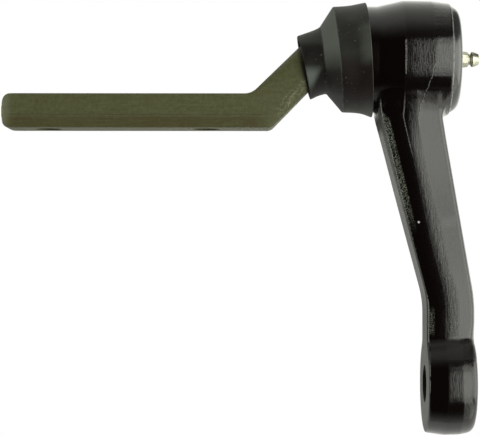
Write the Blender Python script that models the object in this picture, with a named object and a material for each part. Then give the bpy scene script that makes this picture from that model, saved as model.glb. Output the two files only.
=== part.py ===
"""Steering idler arm: a bent frame bracket with a pivot pin, and a forged arm that swings on it.

The origin is the middle of the bar's bolting face, halfway between its two bolt holes. X runs along the
bar and the pivot's axis, towards the grease nipple. Z is up, and the arm hangs down from the pivot.
The whole part is symmetric about the plane Y = 0.
"""

import math

import bmesh
import bpy
import numpy as np
from mathutils import Matrix, Vector

MM = 0.001

# Clearances
TOUCH_GAP = 0.3 * MM        # between faces that touch in the real part
MOUTH_CLEARANCE = 1.6 * MM  # from the flanks of the bracket's slanted bar to the neck's radius, at the boot
CUT_OVERRUN = 3.0 * MM      # how far a cutter reaches past the faces that it cuts

# Bracket: the flat bar
BAR_THICKNESS = 15.9 * MM
BAR_DEPTH = 25.4 * MM
BAR_EDGE_RADIUS = 1.3 * MM
BAR_END_PLAN_RADIUS = 6.0 * MM
BAR_END_SIDE_RADIUS = 4.2 * MM
BAR_END_CROWN = 0.6 * MM
BOLT_SPACING = 73.5 * MM
BOLT_HOLE_RADIUS = 6.1 * MM
BAR_END_MARGIN = 21.4 * MM    # from the outer bolt hole's centre to the bar's free end
BEND_MARGIN = 21.2 * MM       # from the inner bolt hole's centre to the inside corner of the bend

# Bracket: the slanted bar, neck and pin
PIVOT_HEIGHT = 32.8 * MM      # pivot axis above the bolting face
BEND_ANGLE = math.radians(45.0)
BEND_INSIDE_RADIUS = 3.0 * MM
BEND_OUTSIDE_RADIUS = 4.5 * MM
SLANT_THICKNESS = 17.7 * MM
MOUTH_CORNER_RADIUS = 7.7 * MM  # edges of the slanted bar where it enters the boot
NECK_RADIUS = 12.6 * MM
NECK_LENGTH = 18.0 * MM       # from where the slanted centre line meets the pivot axis to the shoulder
SHOULDER_RADIUS = 14.6 * MM
SHOULDER_LENGTH = 4.0 * MM
PIN_RADIUS = 9.5 * MM
PIN_CHAMFER = 1.0 * MM
PIN_TAIL = 1.9 * MM           # pin beyond its ring groove
GROOVE_DEPTH = 0.8 * MM

# Bearings and what holds the arm on the pin
WASHER_THICKNESS = 1.4 * MM
WASHER_RADIUS = 16.5 * MM
BUSHING_WALL = 2.9 * MM
BUSHING_FLANGE = 1.4 * MM     # thickness of the flange
BUSHING_FLANGE_WIDTH = 3.2 * MM
BUSHING_SPLIT = 1.2 * MM      # grease space between the two bushings
GREASE_GROOVE_WIDTH = 2.4 * MM
GREASE_GROOVE_DEPTH = 1.1 * MM
SPRING_THICKNESS = 1.0 * MM
SPRING_CONE = 1.1 * MM
SPRING_WIDTH = 6.0 * MM
RING_THICKNESS = 1.6 * MM
RING_WIDTH = 3.4 * MM
RING_OPENING = 4.6 * MM

# Arm: upper eye
RIM_STAND = 0.2 * MM          # the rolled rim beyond the pin's end
HOUSING_WALL = 14.2 * MM      # from the bearing bore to the outside
NOSE_STEP = 2.6 * MM          # the nose's radius under the housing's
NOSE_LENGTH = 7.5 * MM
NOSE_CHAMFER = 0.8 * MM
HOUSING_RIDGE = 18.9 * MM     # parting line, from the nose's face
HOUSING_SECOND_EDGE = 32.7 * MM
HOUSING_DRAFT = 1.1 * MM      # loss of radius from the second edge to the rim
BEARING_LENGTH = 31.0 * MM
SEAT_LEDGE = 3.9 * MM         # width of the cover's seat round the grease cavity
RIM_WALL = 1.0 * MM
RIM_LIP = 0.9 * MM            # thickness of the rolled lip
RIM_OVERLAP = 0.7 * MM
RIM_ROUNDING = 0.4 * MM

# Arm: beam
BEAM_TOP_DROP = 30.8 * MM     # from the pivot axis to where the beam's top width is measured
BEAM_TOP_START = 7.5 * MM     # the beam's left flank there, from the nose's face
BEAM_TOP_WIDTH = 30.4 * MM
BEAM_TOP_DEPTH = 37.0 * MM
BEAM_FOOT_WIDTH = 22.7 * MM
BEAM_FOOT_DEPTH = 27.4 * MM
BEAM_KNEE_RISE = 39.5 * MM    # the knee above the lower eye's centre
BEAM_KNEE_SPAN = 14.0 * MM    # length of the beam over which it bends there
BEAM_FLARE_DROP = 25.0 * MM   # above this drop from the pivot axis the beam widens into the housing
BEAM_FLARE_RADIUS = 21.9 * MM
BEAM_ROOT_COVER = 3.2 * MM    # from the bearing bore to the beam's root, inside the housing
BEAM_FOOT_COVER = 5.8 * MM    # from the taper hole to the beam's foot, inside the lower eye

# The beam's section from its flat left flank: share of the width, share of the half depth. The parting
# line is the fourth point, and the rough band ends at the fifth.
BEAM_SECTION = (
    (0.0, 0.74),
    (0.05, 0.82),
    (0.20, 0.94),
    (0.37, 1.0),
    (0.61, 0.965),
    (0.93, 0.62),
    (1.0, 0.52),
)

# Arm: lower eye
ARM_CENTRES = 151.7 * MM      # pivot axis to the taper hole's axis
EYE_START = 30.0 * MM         # the eye's left face, from the nose's face
EYE_WIDTH = 22.2 * MM
EYE_RADIUS = 23.9 * MM
EYE_EDGE = 0.9 * MM
TAPER_HOLE_RADIUS = 8.75 * MM  # at the left face
TAPER_RATE = 1.0 / 8.0         # loss of diameter for each unit of depth

# The lower eye's section from its left face: share of the width, share of the radius
EYE_SECTION = (
    (0.0, 0.95),
    (0.385, 1.0),
    (0.70, 0.99),
    (1.0, 0.94),
)

# Dust boot
BOOT_WALL = 2.0 * MM
BOOT_LAP = 3.6 * MM           # skirt over the nose
BOOT_LIP_WALL = 2.1 * MM
BOOT_SKIRT_LENGTH = 14.5 * MM
BOOT_SKIRT_STEP = 0.1 * MM    # skirt's first radius over the nose's
BOOT_CONE_LENGTH = 6.8 * MM
BOOT_COLLAR_LENGTH = 9.0 * MM
BOOT_COLLAR_DROP = 3.9 * MM   # the mouth's centre under the pivot axis
BOOT_CONE_DROP = 0.3 * MM     # the cone's small end under the pivot axis
BOOT_CORNER = 0.5 * MM        # rounding of the boot's steps
BOOT_SWELL = 0.3 * MM         # growth of the skirt's radius half way along it
BOOT_COLLAR_TILT = math.radians(12.0)
BOOT_CONE_TILT = math.radians(5.2)
BOOT_SKIRT_TILT = math.radians(3.7)

# Cover and its seal
COVER_WALL = 1.3 * MM
COVER_STAND = 4.8 * MM        # face beyond the rim's inner side, at the edge of the cover
COVER_DOME = 0.8 * MM
COVER_EDGE_RADIUS = 1.9 * MM
COVER_SEAT_RADIUS = 4.6 * MM  # flat in the middle, under the nipple
SEAL_THICKNESS = 0.9 * MM

# Grease nipple
NIPPLE_THREAD_RADIUS = 2.7 * MM
NIPPLE_TAIL = 1.2 * MM        # inside the cover
NIPPLE_HEX_FLATS = 7.0 * MM
NIPPLE_HEX_HEIGHT = 4.2 * MM
NIPPLE_WAIST_RADIUS = 2.5 * MM
NIPPLE_WAIST_LENGTH = 1.3 * MM
NIPPLE_HEAD_RADIUS = 3.45 * MM
NIPPLE_HEAD_LENGTH = 3.6 * MM
NIPPLE_HEAD_SLOPE = 0.4 * MM  # half the length over which the waist widens to the head
NIPPLE_TIP_RADIUS = 2.4 * MM
NIPPLE_TIP_EDGE = 0.5 * MM
NIPPLE_BORE_RADIUS = 1.55 * MM
NIPPLE_MOUTH_RADIUS = 0.85 * MM
NIPPLE_MOUTH_DEPTH = 0.7 * MM
NIPPLE_TAIL_LIP = 0.85 * MM   # turned in over the bore, to hold the spring
NIPPLE_BALL_RADIUS = 1.2 * MM
NIPPLE_WIRE_RADIUS = 0.16 * MM
NIPPLE_SPRING_TURNS = 6

# Facets
ROUND_STEPS = 48
SMALL_STEPS = 28
CORNER_STEPS = 8
END_STEPS = 5
BEND_STEPS = 5
ROOT_STEPS = 5
BEAM_STEPS = 3
KNEE_STEPS = 7
DOME_STEPS = 4
COVER_EDGE_STEPS = 5
SPRING_STEPS = 12             # for each turn of the nipple's spring
MERGE_DISTANCE = 0.001 * MM

# Places along X, worked out from the sizes above, each piece against the last
INNER_HOLE_X = BOLT_SPACING / 2
BAR_END_X = -BOLT_SPACING / 2 - BAR_END_MARGIN
BEND_X = INNER_HOLE_X + BEND_MARGIN
NECK_X = (
    BEND_X
    + SLANT_THICKNESS / 2 * math.sin(BEND_ANGLE)
    + (PIVOT_HEIGHT - BAR_THICKNESS + SLANT_THICKNESS / 2 * math.cos(BEND_ANGLE)) / math.tan(BEND_ANGLE)
)
SHOULDER_X = NECK_X + NECK_LENGTH
FIRST_WASHER_X = SHOULDER_X + TOUCH_GAP
FIRST_FLANGE_X = FIRST_WASHER_X + WASHER_THICKNESS + TOUCH_GAP
NOSE_X = FIRST_FLANGE_X + BUSHING_FLANGE + TOUCH_GAP
CAVITY_X = NOSE_X + BEARING_LENGTH
SECOND_FLANGE_X = CAVITY_X + TOUCH_GAP
SECOND_WASHER_X = SECOND_FLANGE_X + BUSHING_FLANGE + TOUCH_GAP
SPRING_X = SECOND_WASHER_X + WASHER_THICKNESS + TOUCH_GAP
RING_X = SPRING_X + SPRING_THICKNESS + SPRING_CONE + TOUCH_GAP
PIN_END_X = RING_X + RING_THICKNESS + TOUCH_GAP + PIN_TAIL
RIM_X = PIN_END_X + RIM_STAND
LIP_X = RIM_X - RIM_LIP
COVER_FLANGE_X = LIP_X - TOUCH_GAP - COVER_WALL
SEAL_X = COVER_FLANGE_X - TOUCH_GAP - SEAL_THICKNESS
SEAT_X = SEAL_X - TOUCH_GAP
COVER_FACE_X = LIP_X + COVER_STAND + COVER_DOME
NIPPLE_X = COVER_FACE_X + TOUCH_GAP
NIPPLE_TAIL_X = COVER_FACE_X - COVER_WALL - NIPPLE_TAIL
NIPPLE_WAIST_X = NIPPLE_X + NIPPLE_HEX_HEIGHT
NIPPLE_HEAD_X = NIPPLE_WAIST_X + NIPPLE_WAIST_LENGTH
NIPPLE_END_X = NIPPLE_HEAD_X + NIPPLE_HEAD_LENGTH

# Radii that follow from others
RUNNING_RADIUS = PIN_RADIUS + TOUCH_GAP
BUSHING_RADIUS = RUNNING_RADIUS + BUSHING_WALL
BORE_RADIUS = BUSHING_RADIUS + TOUCH_GAP
HOUSING_RADIUS = BORE_RADIUS + HOUSING_WALL
NOSE_RADIUS = HOUSING_RADIUS - NOSE_STEP
RIM_RADIUS = HOUSING_RADIUS - HOUSING_DRAFT
SEAT_RADIUS = RIM_RADIUS - RIM_WALL
CAVITY_RADIUS = SEAT_RADIUS - SEAT_LEDGE
COVER_FLANGE_RADIUS = SEAT_RADIUS - TOUCH_GAP
LIP_RADIUS = SEAT_RADIUS - RIM_OVERLAP
COVER_RADIUS = LIP_RADIUS - TOUCH_GAP

# The lower eye's centre, in the frame of the pivot
EYE_X = NOSE_X + EYE_START
EYE_END_X = EYE_X + EYE_WIDTH


def paint(name, colour, roughness, metallic):
    """A plain Principled BSDF material."""
    material = bpy.data.materials.new(name)
    material.use_nodes = True
    shader = material.node_tree.nodes["Principled BSDF"]
    shader.inputs["Base Color"].default_value = (*colour, 1.0)
    shader.inputs["Roughness"].default_value = roughness
    shader.inputs["Metallic"].default_value = metallic
    material.diffuse_color = (*colour, 1.0)
    return material


def add_object(name, bm, material, parent=None, place=(0.0, 0.0, 0.0)):
    """Turns a bmesh into a named object, shaded smooth with its real edges kept sharp."""
    bmesh.ops.recalc_face_normals(bm, faces=bm.faces)
    mesh = bpy.data.meshes.new(name)
    bm.to_mesh(mesh)
    bm.free()
    mesh.materials.append(material)
    mesh.shade_smooth()
    mesh.set_sharp_from_angle(angle=math.radians(35.0))
    item = bpy.data.objects.new(name, mesh)
    item.location = place
    item.parent = parent
    bpy.context.collection.objects.link(item)
    return item


def turn(profile, steps=ROUND_STEPS, centre_z=0.0):
    """Spins a profile of (x, radius) points round the X axis. Points of radius zero become poles."""
    bm = bmesh.new()
    verts = [bm.verts.new((x, 0.0, radius + centre_z)) for x, radius in profile]
    on_axis = profile[0][1] == 0.0 and profile[-1][1] == 0.0
    last = len(verts) - 1 if on_axis else len(verts)
    for i in range(last):
        bm.edges.new((verts[i], verts[(i + 1) % len(verts)]))
    bmesh.ops.spin(
        bm,
        geom=bm.verts[:] + bm.edges[:],
        cent=(0.0, 0.0, centre_z),
        axis=(1.0, 0.0, 0.0),
        angle=2.0 * math.pi,
        steps=steps,
        use_merge=True,
    )
    bmesh.ops.remove_doubles(bm, verts=bm.verts, dist=MERGE_DISTANCE)
    return bm


def arc(x, radius, size, start, end, steps):
    """Points of an arc round (x, radius), from one angle to another in degrees, 0 pointing along +X."""
    angles = np.radians(np.linspace(start, end, steps + 1))
    return [(x + size * math.cos(a), radius + size * math.sin(a)) for a in angles]


def loft(rings):
    """Joins rings of equally many points into one closed skin, with a flat cap at each end."""
    bm = bmesh.new()
    rows = [[bm.verts.new(point) for point in ring] for ring in rings]
    for low, high in zip(rows, rows[1:]):
        count = len(low)
        for i in range(count):
            j = (i + 1) % count
            bm.faces.new((low[i], low[j], high[j], high[i]))
    bm.faces.new(rows[0])
    bm.faces.new(rows[-1])
    return bm


def cut(item, cutter):
    """Takes the cutter's solid out of the item."""
    boolean = item.modifiers.new("cut_" + cutter.name, "BOOLEAN")
    boolean.operation = "DIFFERENCE"
    boolean.solver = "EXACT"
    boolean.object = cutter
    cutter.hide_render = True
    cutter.display_type = "WIRE"


def fuse(item, other):
    """Adds the other's solid to the item, as one forging."""
    boolean = item.modifiers.new("fuse_" + other.name, "BOOLEAN")
    boolean.operation = "UNION"
    boolean.solver = "EXACT"
    boolean.object = other
    other.hide_render = True
    other.display_type = "WIRE"


def bar_section(top, bottom, half_depth, corner):
    """A rounded rectangle across the bar, between a top and a bottom point of the side view."""
    top = Vector((top[0], 0.0, top[1]))
    bottom = Vector((bottom[0], 0.0, bottom[1]))
    middle = (top + bottom) / 2
    half_height = (top - bottom).length / 2
    up = (top - bottom).normalized()
    corner = min(corner, half_height, half_depth)
    points = []
    for quarter, (side_y, side_up) in enumerate(((1, 1), (-1, 1), (-1, -1), (1, -1))):
        for k in range(CORNER_STEPS + 1):
            angle = math.pi / 2 * (quarter + k / CORNER_STEPS)
            y = side_y * (half_depth - corner) + corner * math.cos(angle)
            rise = side_up * (half_height - corner) + corner * math.sin(angle)
            points.append(middle + up * rise + Vector((0.0, y, 0.0)))
    return points


def round_section(x, z, radius, tilt=0.0):
    """A circle across the pivot axis, leaning by the tilt, in the order of bar_section's points."""
    lean = Vector((-math.sin(tilt), 0.0, math.cos(tilt))) * radius
    centre = Vector((x, 0.0, z))
    top = centre + lean
    bottom = centre - lean
    return bar_section((top.x, top.z), (bottom.x, bottom.z), radius, radius)


def bar_end_sections():
    """Sections that round the bar's free end in plan and in side view."""
    sections = []
    middle = BAR_THICKNESS / 2
    flat_height = middle - BAR_END_SIDE_RADIUS
    crown = bar_section(
        (BAR_END_X - BAR_END_CROWN, middle + flat_height / 2),
        (BAR_END_X - BAR_END_CROWN, middle - flat_height / 2),
        (BAR_DEPTH / 2 - BAR_END_PLAN_RADIUS) / 2,
        BAR_EDGE_RADIUS,
    )
    sections.append(crown)
    for k in range(END_STEPS + 1):
        inward = BAR_END_PLAN_RADIUS * (1.0 - math.cos(math.pi / 2 * k / END_STEPS))
        half_depth = BAR_DEPTH / 2 - round_loss(BAR_END_PLAN_RADIUS, inward)
        half_height = middle - round_loss(BAR_END_SIDE_RADIUS, inward)
        x = BAR_END_X + inward
        sections.append(
            bar_section((x, middle + half_height), (x, middle - half_height), half_depth, BAR_EDGE_RADIUS)
        )
    return sections


def round_loss(radius, inward):
    """How far a rounded corner still falls short of its side, at a distance inward from its end."""
    if inward >= radius:
        return 0.0
    return radius - math.sqrt(radius**2 - (radius - inward) ** 2)


def bend_point(corner_x, corner_z, radius, share):
    """A point of the arc that rounds a corner of the bend in the side view. Both corners turn upwards."""
    reach = radius * math.tan(BEND_ANGLE / 2)
    angle = BEND_ANGLE * share
    return corner_x - reach + radius * math.sin(angle), corner_z + radius * (1.0 - math.cos(angle))


def slant_heel_x():
    """Where the slanted bar's lower line meets the bolting face."""
    return BEND_X + (SLANT_THICKNESS / math.cos(BEND_ANGLE) - BAR_THICKNESS) / math.tan(BEND_ANGLE)


def mouth_centre():
    """Centre of the boot's small mouth, in the side view."""
    return collar_end_x() - BOOT_COLLAR_LENGTH, PIVOT_HEIGHT - BOOT_COLLAR_DROP


def collar_end_x():
    """Where the boot's collar ends and its cone starts."""
    return NOSE_X + BOOT_LAP - BOOT_SKIRT_LENGTH - BOOT_CONE_LENGTH


def slant_at_mouth():
    """Top and bottom points where the slanted bar's two lines cross the plane of the boot's mouth."""
    x, z = mouth_centre()
    slope = math.tan(BEND_ANGLE)
    lean_x = -math.sin(BOOT_COLLAR_TILT)
    lean_z = math.cos(BOOT_COLLAR_TILT)
    points = []
    for drop in (0.0, SLANT_THICKNESS / math.cos(BEND_ANGLE)):
        line_z = BAR_THICKNESS + (x - BEND_X) * slope - drop
        along = (line_z - z) / (lean_z - lean_x * slope)
        points.append((x + along * lean_x, z + along * lean_z))
    return points


def bracket_sections():
    """Every section of the bracket, from the bar's free end to the end of the pin."""
    sections = bar_end_sections()
    heel_x = slant_heel_x()
    for k in range(BEND_STEPS + 1):
        share = k / BEND_STEPS
        sections.append(
            bar_section(
                bend_point(BEND_X, BAR_THICKNESS, BEND_INSIDE_RADIUS, share),
                bend_point(heel_x, 0.0, BEND_OUTSIDE_RADIUS, share),
                BAR_DEPTH / 2,
                BAR_EDGE_RADIUS,
            )
        )
    top, bottom = slant_at_mouth()
    sections.append(bar_section(top, bottom, NECK_RADIUS - MOUTH_CLEARANCE, MOUTH_CORNER_RADIUS))
    cone_z = PIVOT_HEIGHT - BOOT_CONE_DROP
    sections.append(round_section(collar_end_x(), cone_z, NECK_RADIUS, BOOT_SKIRT_TILT))
    round_steps = [
        (SHOULDER_X - 2 * SHOULDER_LENGTH, NECK_RADIUS),
        (SHOULDER_X - SHOULDER_LENGTH, SHOULDER_RADIUS),
        (SHOULDER_X, SHOULDER_RADIUS),
        (SHOULDER_X, PIN_RADIUS),
        (RING_X - TOUCH_GAP, PIN_RADIUS),
        (RING_X - TOUCH_GAP, PIN_RADIUS - GROOVE_DEPTH),
        (RING_X + RING_THICKNESS + TOUCH_GAP, PIN_RADIUS - GROOVE_DEPTH),
        (RING_X + RING_THICKNESS + TOUCH_GAP, PIN_RADIUS),
        (PIN_END_X - PIN_CHAMFER, PIN_RADIUS),
        (PIN_END_X, PIN_RADIUS - PIN_CHAMFER),
    ]
    sections += [round_section(x, PIVOT_HEIGHT, radius) for x, radius in round_steps]
    return sections


def make_bracket(steel, iron):
    """The bent bar, its neck and the pin, with two bolt holes through the bar."""
    bracket = add_object("frame_bracket", loft(bracket_sections()), iron)
    for name, x in (("outer_bolt_hole", -BOLT_SPACING / 2), ("inner_bolt_hole", INNER_HOLE_X)):
        bm = bmesh.new()
        bmesh.ops.create_cone(
            bm,
            cap_ends=True,
            segments=ROUND_STEPS,
            radius1=BOLT_HOLE_RADIUS,
            radius2=BOLT_HOLE_RADIUS,
            depth=BAR_THICKNESS + 2 * CUT_OVERRUN,
        )
        cut(bracket, add_object(name, bm, steel, place=(x, 0.0, BAR_THICKNESS / 2)))
    return bracket


def boot_ring(x, radius, centre_z, tilt):
    """One ring of the boot, in the side view's frame."""
    centre = Vector((x, 0.0, centre_z))
    lean = Vector((-math.sin(tilt), 0.0, math.cos(tilt)))
    across = Vector((0.0, 1.0, 0.0))
    angles = [2.0 * math.pi * k / ROUND_STEPS for k in range(ROUND_STEPS)]
    return [centre + lean * radius * math.cos(a) + across * radius * math.sin(a) for a in angles]


def make_boot(rubber):
    """A stepped tube: its collar leans with the slanted bar, and its skirt laps over the nose."""
    skirt_end = NOSE_X + BOOT_LAP
    step_x = skirt_end - BOOT_SKIRT_LENGTH
    cone_x = collar_end_x()
    mouth_x, mouth_z = mouth_centre()
    collar = NECK_RADIUS + TOUCH_GAP + BOOT_WALL
    step = NOSE_RADIUS + BOOT_SKIRT_STEP
    lip = NOSE_RADIUS + TOUCH_GAP + BOOT_LIP_WALL
    seat = NOSE_RADIUS + TOUCH_GAP
    seat_x = NOSE_X - TOUCH_GAP
    seat_back = seat_x - seat * math.sin(BOOT_SKIRT_TILT)
    middle_x = (step_x + skirt_end) / 2
    axis = PIVOT_HEIGHT
    cone_z = axis - BOOT_CONE_DROP
    stations = [
        (mouth_x, collar - BOOT_WALL, mouth_z, BOOT_COLLAR_TILT),
        (mouth_x, collar, mouth_z, BOOT_COLLAR_TILT),
        (cone_x - BOOT_CORNER, collar, cone_z, BOOT_CONE_TILT),
        (cone_x, collar + BOOT_CORNER, cone_z, BOOT_CONE_TILT),
        (step_x - BOOT_CORNER, step - BOOT_CORNER, axis, BOOT_SKIRT_TILT),
        (step_x + BOOT_CORNER, step, axis, BOOT_SKIRT_TILT),
        (middle_x, step + BOOT_SWELL, axis, BOOT_SKIRT_TILT),
        ((middle_x + skirt_end) / 2, (step + lip) / 2, axis, BOOT_SKIRT_TILT),
        (skirt_end - BOOT_CORNER, lip, axis, BOOT_SKIRT_TILT),
        (skirt_end, lip - BOOT_CORNER, axis, BOOT_SKIRT_TILT),
        (skirt_end, seat, axis, BOOT_SKIRT_TILT),
        (seat_back, seat, axis, BOOT_SKIRT_TILT),
        (seat_back, step - BOOT_WALL, axis, BOOT_SKIRT_TILT),
        (step_x + BOOT_WALL, step - BOOT_WALL, axis, BOOT_SKIRT_TILT),
        (cone_x + BOOT_WALL, collar - BOOT_WALL / 2, cone_z, BOOT_CONE_TILT),
        (cone_x, collar - BOOT_WALL, cone_z, BOOT_CONE_TILT),
    ]
    rows = [boot_ring(x, radius, z, tilt) for x, radius, z, tilt in stations]
    bm = bmesh.new()
    rings = [[bm.verts.new(point) for point in row] for row in rows]
    for this, following in zip(rings, rings[1:] + rings[:1]):
        for i in range(ROUND_STEPS):
            j = (i + 1) % ROUND_STEPS
            bm.faces.new((this[i], this[j], following[j], following[i]))
    return add_object("dust_boot", bm, rubber)


def housing_profile():
    """Outside of the upper eye: nose, draft up to the parting line, flat, draft down to the rolled rim."""
    return [
        (NOSE_X, 0.0),
        (NOSE_X, NOSE_RADIUS - NOSE_CHAMFER),
        (NOSE_X + NOSE_CHAMFER, NOSE_RADIUS),
        (NOSE_X + NOSE_LENGTH, NOSE_RADIUS),
        (NOSE_X + HOUSING_RIDGE, HOUSING_RADIUS),
        (NOSE_X + HOUSING_SECOND_EDGE, HOUSING_RADIUS),
        (LIP_X, RIM_RADIUS),
        (RIM_X - RIM_ROUNDING, RIM_RADIUS - RIM_ROUNDING),
        (RIM_X, RIM_RADIUS - RIM_WALL),
        (RIM_X, 0.0),
    ]


def housing_bore_profile():
    """Inside of the upper eye: bearing bore, grease cavity, cover seat and the undercut of the rim."""
    return [
        (NOSE_X - CUT_OVERRUN, 0.0),
        (NOSE_X - CUT_OVERRUN, BORE_RADIUS),
        (CAVITY_X, BORE_RADIUS),
        (CAVITY_X, CAVITY_RADIUS),
        (SEAT_X, CAVITY_RADIUS),
        (SEAT_X, SEAT_RADIUS),
        (LIP_X, SEAT_RADIUS),
        (LIP_X, LIP_RADIUS),
        (RIM_X + CUT_OVERRUN, LIP_RADIUS),
        (RIM_X + CUT_OVERRUN, 0.0),
    ]


def beam_flanks(z):
    """The beam's left and right X at a height, measured from the pivot. It leans, then runs straight."""
    knee_z = -ARM_CENTRES + BEAM_KNEE_RISE
    top_z = -BEAM_TOP_DROP
    heights = [knee_z - BEAM_KNEE_SPAN / 2, knee_z, top_z]
    left_top = NOSE_X + BEAM_TOP_START
    lefts = [EYE_X, EYE_X, left_top]
    rights = [EYE_X + BEAM_FOOT_WIDTH, EYE_X + BEAM_FOOT_WIDTH, left_top + BEAM_TOP_WIDTH]
    blend = BEAM_KNEE_SPAN / 4
    left = sum(np.interp(z + shift, heights, lefts) for shift in (-blend, 0.0, blend)) / 3
    right = sum(np.interp(z + shift, heights, rights) for shift in (-blend, 0.0, blend)) / 3
    return float(left), float(right)


def beam_half_depth(z):
    """Half of the beam's depth along Y at a height, flared where it meets each eye."""
    eye_top = -ARM_CENTRES + EYE_RADIUS
    plain = float(np.interp(z, [eye_top, -BEAM_TOP_DROP], [BEAM_FOOT_DEPTH / 2, BEAM_TOP_DEPTH / 2]))
    rise = max(0.0, z + BEAM_FLARE_DROP)
    return plain + rise**2 / (2.0 * BEAM_FLARE_RADIUS)


def beam_section(z):
    """Across the beam: a flat left flank, draft up to the parting line, a rough band and a steeper face
    down to the right flank, and the same again on the far side."""
    left, right = beam_flanks(z)
    half_depth = beam_half_depth(z)
    points = [(left + share * (right - left), -depth * half_depth, z) for share, depth in BEAM_SECTION]
    points += [(x, -y, z) for x, y, z in reversed(points)]
    return points


def make_beam(iron, parent):
    """The beam between the two eyes, run into both of them."""
    root = -BORE_RADIUS - BEAM_ROOT_COVER
    knee = -ARM_CENTRES + BEAM_KNEE_RISE
    heights = list(np.linspace(root, -BEAM_TOP_DROP, ROOT_STEPS + 1))
    heights += list(np.linspace(-BEAM_TOP_DROP, knee + BEAM_KNEE_SPAN / 2, BEAM_STEPS + 1))[1:]
    heights += list(np.linspace(knee + BEAM_KNEE_SPAN / 2, knee - BEAM_KNEE_SPAN, KNEE_STEPS + 1))[1:]
    heights.append(-ARM_CENTRES + TAPER_HOLE_RADIUS + BEAM_FOOT_COVER)
    return add_object("beam_solid", loft([beam_section(z) for z in heights]), iron, parent)


def make_lower_eye(iron, parent):
    """The lower eye, drafted on both sides of its parting line like the beam."""
    outline = [(EYE_X + share * EYE_WIDTH, size * EYE_RADIUS) for share, size in EYE_SECTION]
    left_radius = outline[0][1]
    right_radius = outline[-1][1]
    profile = [
        (EYE_X, 0.0),
        (EYE_X, left_radius - EYE_EDGE),
        (EYE_X + EYE_EDGE, left_radius),
        *outline[1:-1],
        (EYE_END_X - EYE_EDGE, right_radius),
        (EYE_END_X, right_radius - EYE_EDGE),
        (EYE_END_X, 0.0),
    ]
    return add_object("lower_eye_solid", turn(profile, centre_z=-ARM_CENTRES), iron, parent)


def make_taper_cutter(iron, parent):
    """A cone through the lower eye, wide at its left face."""
    slope = TAPER_RATE / 2
    start = TAPER_HOLE_RADIUS + CUT_OVERRUN * slope
    end = TAPER_HOLE_RADIUS - (EYE_WIDTH + CUT_OVERRUN) * slope
    profile = [
        (EYE_X - CUT_OVERRUN, 0.0),
        (EYE_X - CUT_OVERRUN, start),
        (EYE_END_X + CUT_OVERRUN, end),
        (EYE_END_X + CUT_OVERRUN, 0.0),
    ]
    return add_object("taper_hole", turn(profile, centre_z=-ARM_CENTRES), iron, parent)


def make_arm(iron, pivot):
    """One forging: upper eye, beam and lower eye, bored for the bearings and for the link's stud."""
    arm = add_object("idler_arm", turn(housing_profile()), iron, pivot)
    fuse(arm, make_beam(iron, pivot))
    fuse(arm, make_lower_eye(iron, pivot))
    cut(arm, add_object("housing_bore", turn(housing_bore_profile()), iron, pivot))
    cut(arm, make_taper_cutter(iron, pivot))
    return arm


def make_washer(name, x, steel, parent):
    """A flat hardened ring on the pin."""
    profile = [
        (x, RUNNING_RADIUS),
        (x + WASHER_THICKNESS, RUNNING_RADIUS),
        (x + WASHER_THICKNESS, WASHER_RADIUS),
        (x, WASHER_RADIUS),
    ]
    return add_object(name, turn(profile), steel, parent)


def make_bushing(name, flange_x, towards, bronze, parent):
    """A flanged sleeve. towards is +1 where the sleeve runs along +X from its flange, otherwise -1."""
    sleeve = (BEARING_LENGTH - BUSHING_SPLIT) / 2 + TOUCH_GAP
    inner_face = flange_x + BUSHING_FLANGE if towards > 0 else flange_x
    outer_face = flange_x if towards > 0 else flange_x + BUSHING_FLANGE
    flange_radius = BUSHING_RADIUS + BUSHING_FLANGE_WIDTH
    end = inner_face + towards * sleeve
    profile = [
        (outer_face, RUNNING_RADIUS),
        (outer_face, flange_radius),
        (inner_face, flange_radius),
        (inner_face, BUSHING_RADIUS),
        (end, BUSHING_RADIUS),
        (end, RUNNING_RADIUS),
    ]
    bushing = add_object(name, turn(profile), bronze, parent)
    length = sleeve + BUSHING_FLANGE + 2 * CUT_OVERRUN
    height = 2 * (RUNNING_RADIUS + GREASE_GROOVE_DEPTH)
    bm = bmesh.new()
    bmesh.ops.create_cube(bm, size=1.0)
    stretch = Matrix.Diagonal((length, GREASE_GROOVE_WIDTH, height, 1.0))
    bmesh.ops.transform(bm, matrix=stretch, verts=bm.verts)
    cutter = add_object(name + "_grooves", bm, bronze, parent, ((outer_face + end) / 2, 0.0, 0.0))
    cut(bushing, cutter)
    return bushing


def make_preload_spring(steel, parent):
    """A conical spring washer, its small end against the retaining ring."""
    outer = RUNNING_RADIUS + SPRING_WIDTH
    profile = [
        (SPRING_X, outer),
        (SPRING_X + SPRING_THICKNESS, outer),
        (SPRING_X + SPRING_THICKNESS + SPRING_CONE, RUNNING_RADIUS),
        (SPRING_X + SPRING_CONE, RUNNING_RADIUS),
    ]
    return add_object("preload_spring", turn(profile), steel, parent)


def make_retaining_ring(steel, parent):
    """An open ring in the pin's groove, its opening upwards."""
    inner = PIN_RADIUS - GROOVE_DEPTH + TOUCH_GAP
    profile = [
        (RING_X, inner),
        (RING_X + RING_THICKNESS, inner),
        (RING_X + RING_THICKNESS, inner + RING_WIDTH),
        (RING_X, inner + RING_WIDTH),
    ]
    ring = add_object("retaining_ring", turn(profile), steel, parent)
    bm = bmesh.new()
    bmesh.ops.create_cube(bm, size=1.0)
    length = RING_THICKNESS + 2 * CUT_OVERRUN
    stretch = Matrix.Diagonal((length, RING_OPENING, RING_WIDTH + 2 * CUT_OVERRUN, 1.0))
    bmesh.ops.transform(bm, matrix=stretch, verts=bm.verts)
    place = (RING_X + RING_THICKNESS / 2, 0.0, inner + RING_WIDTH / 2)
    cut(ring, add_object("ring_opening", bm, steel, parent, place))
    return ring


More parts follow.
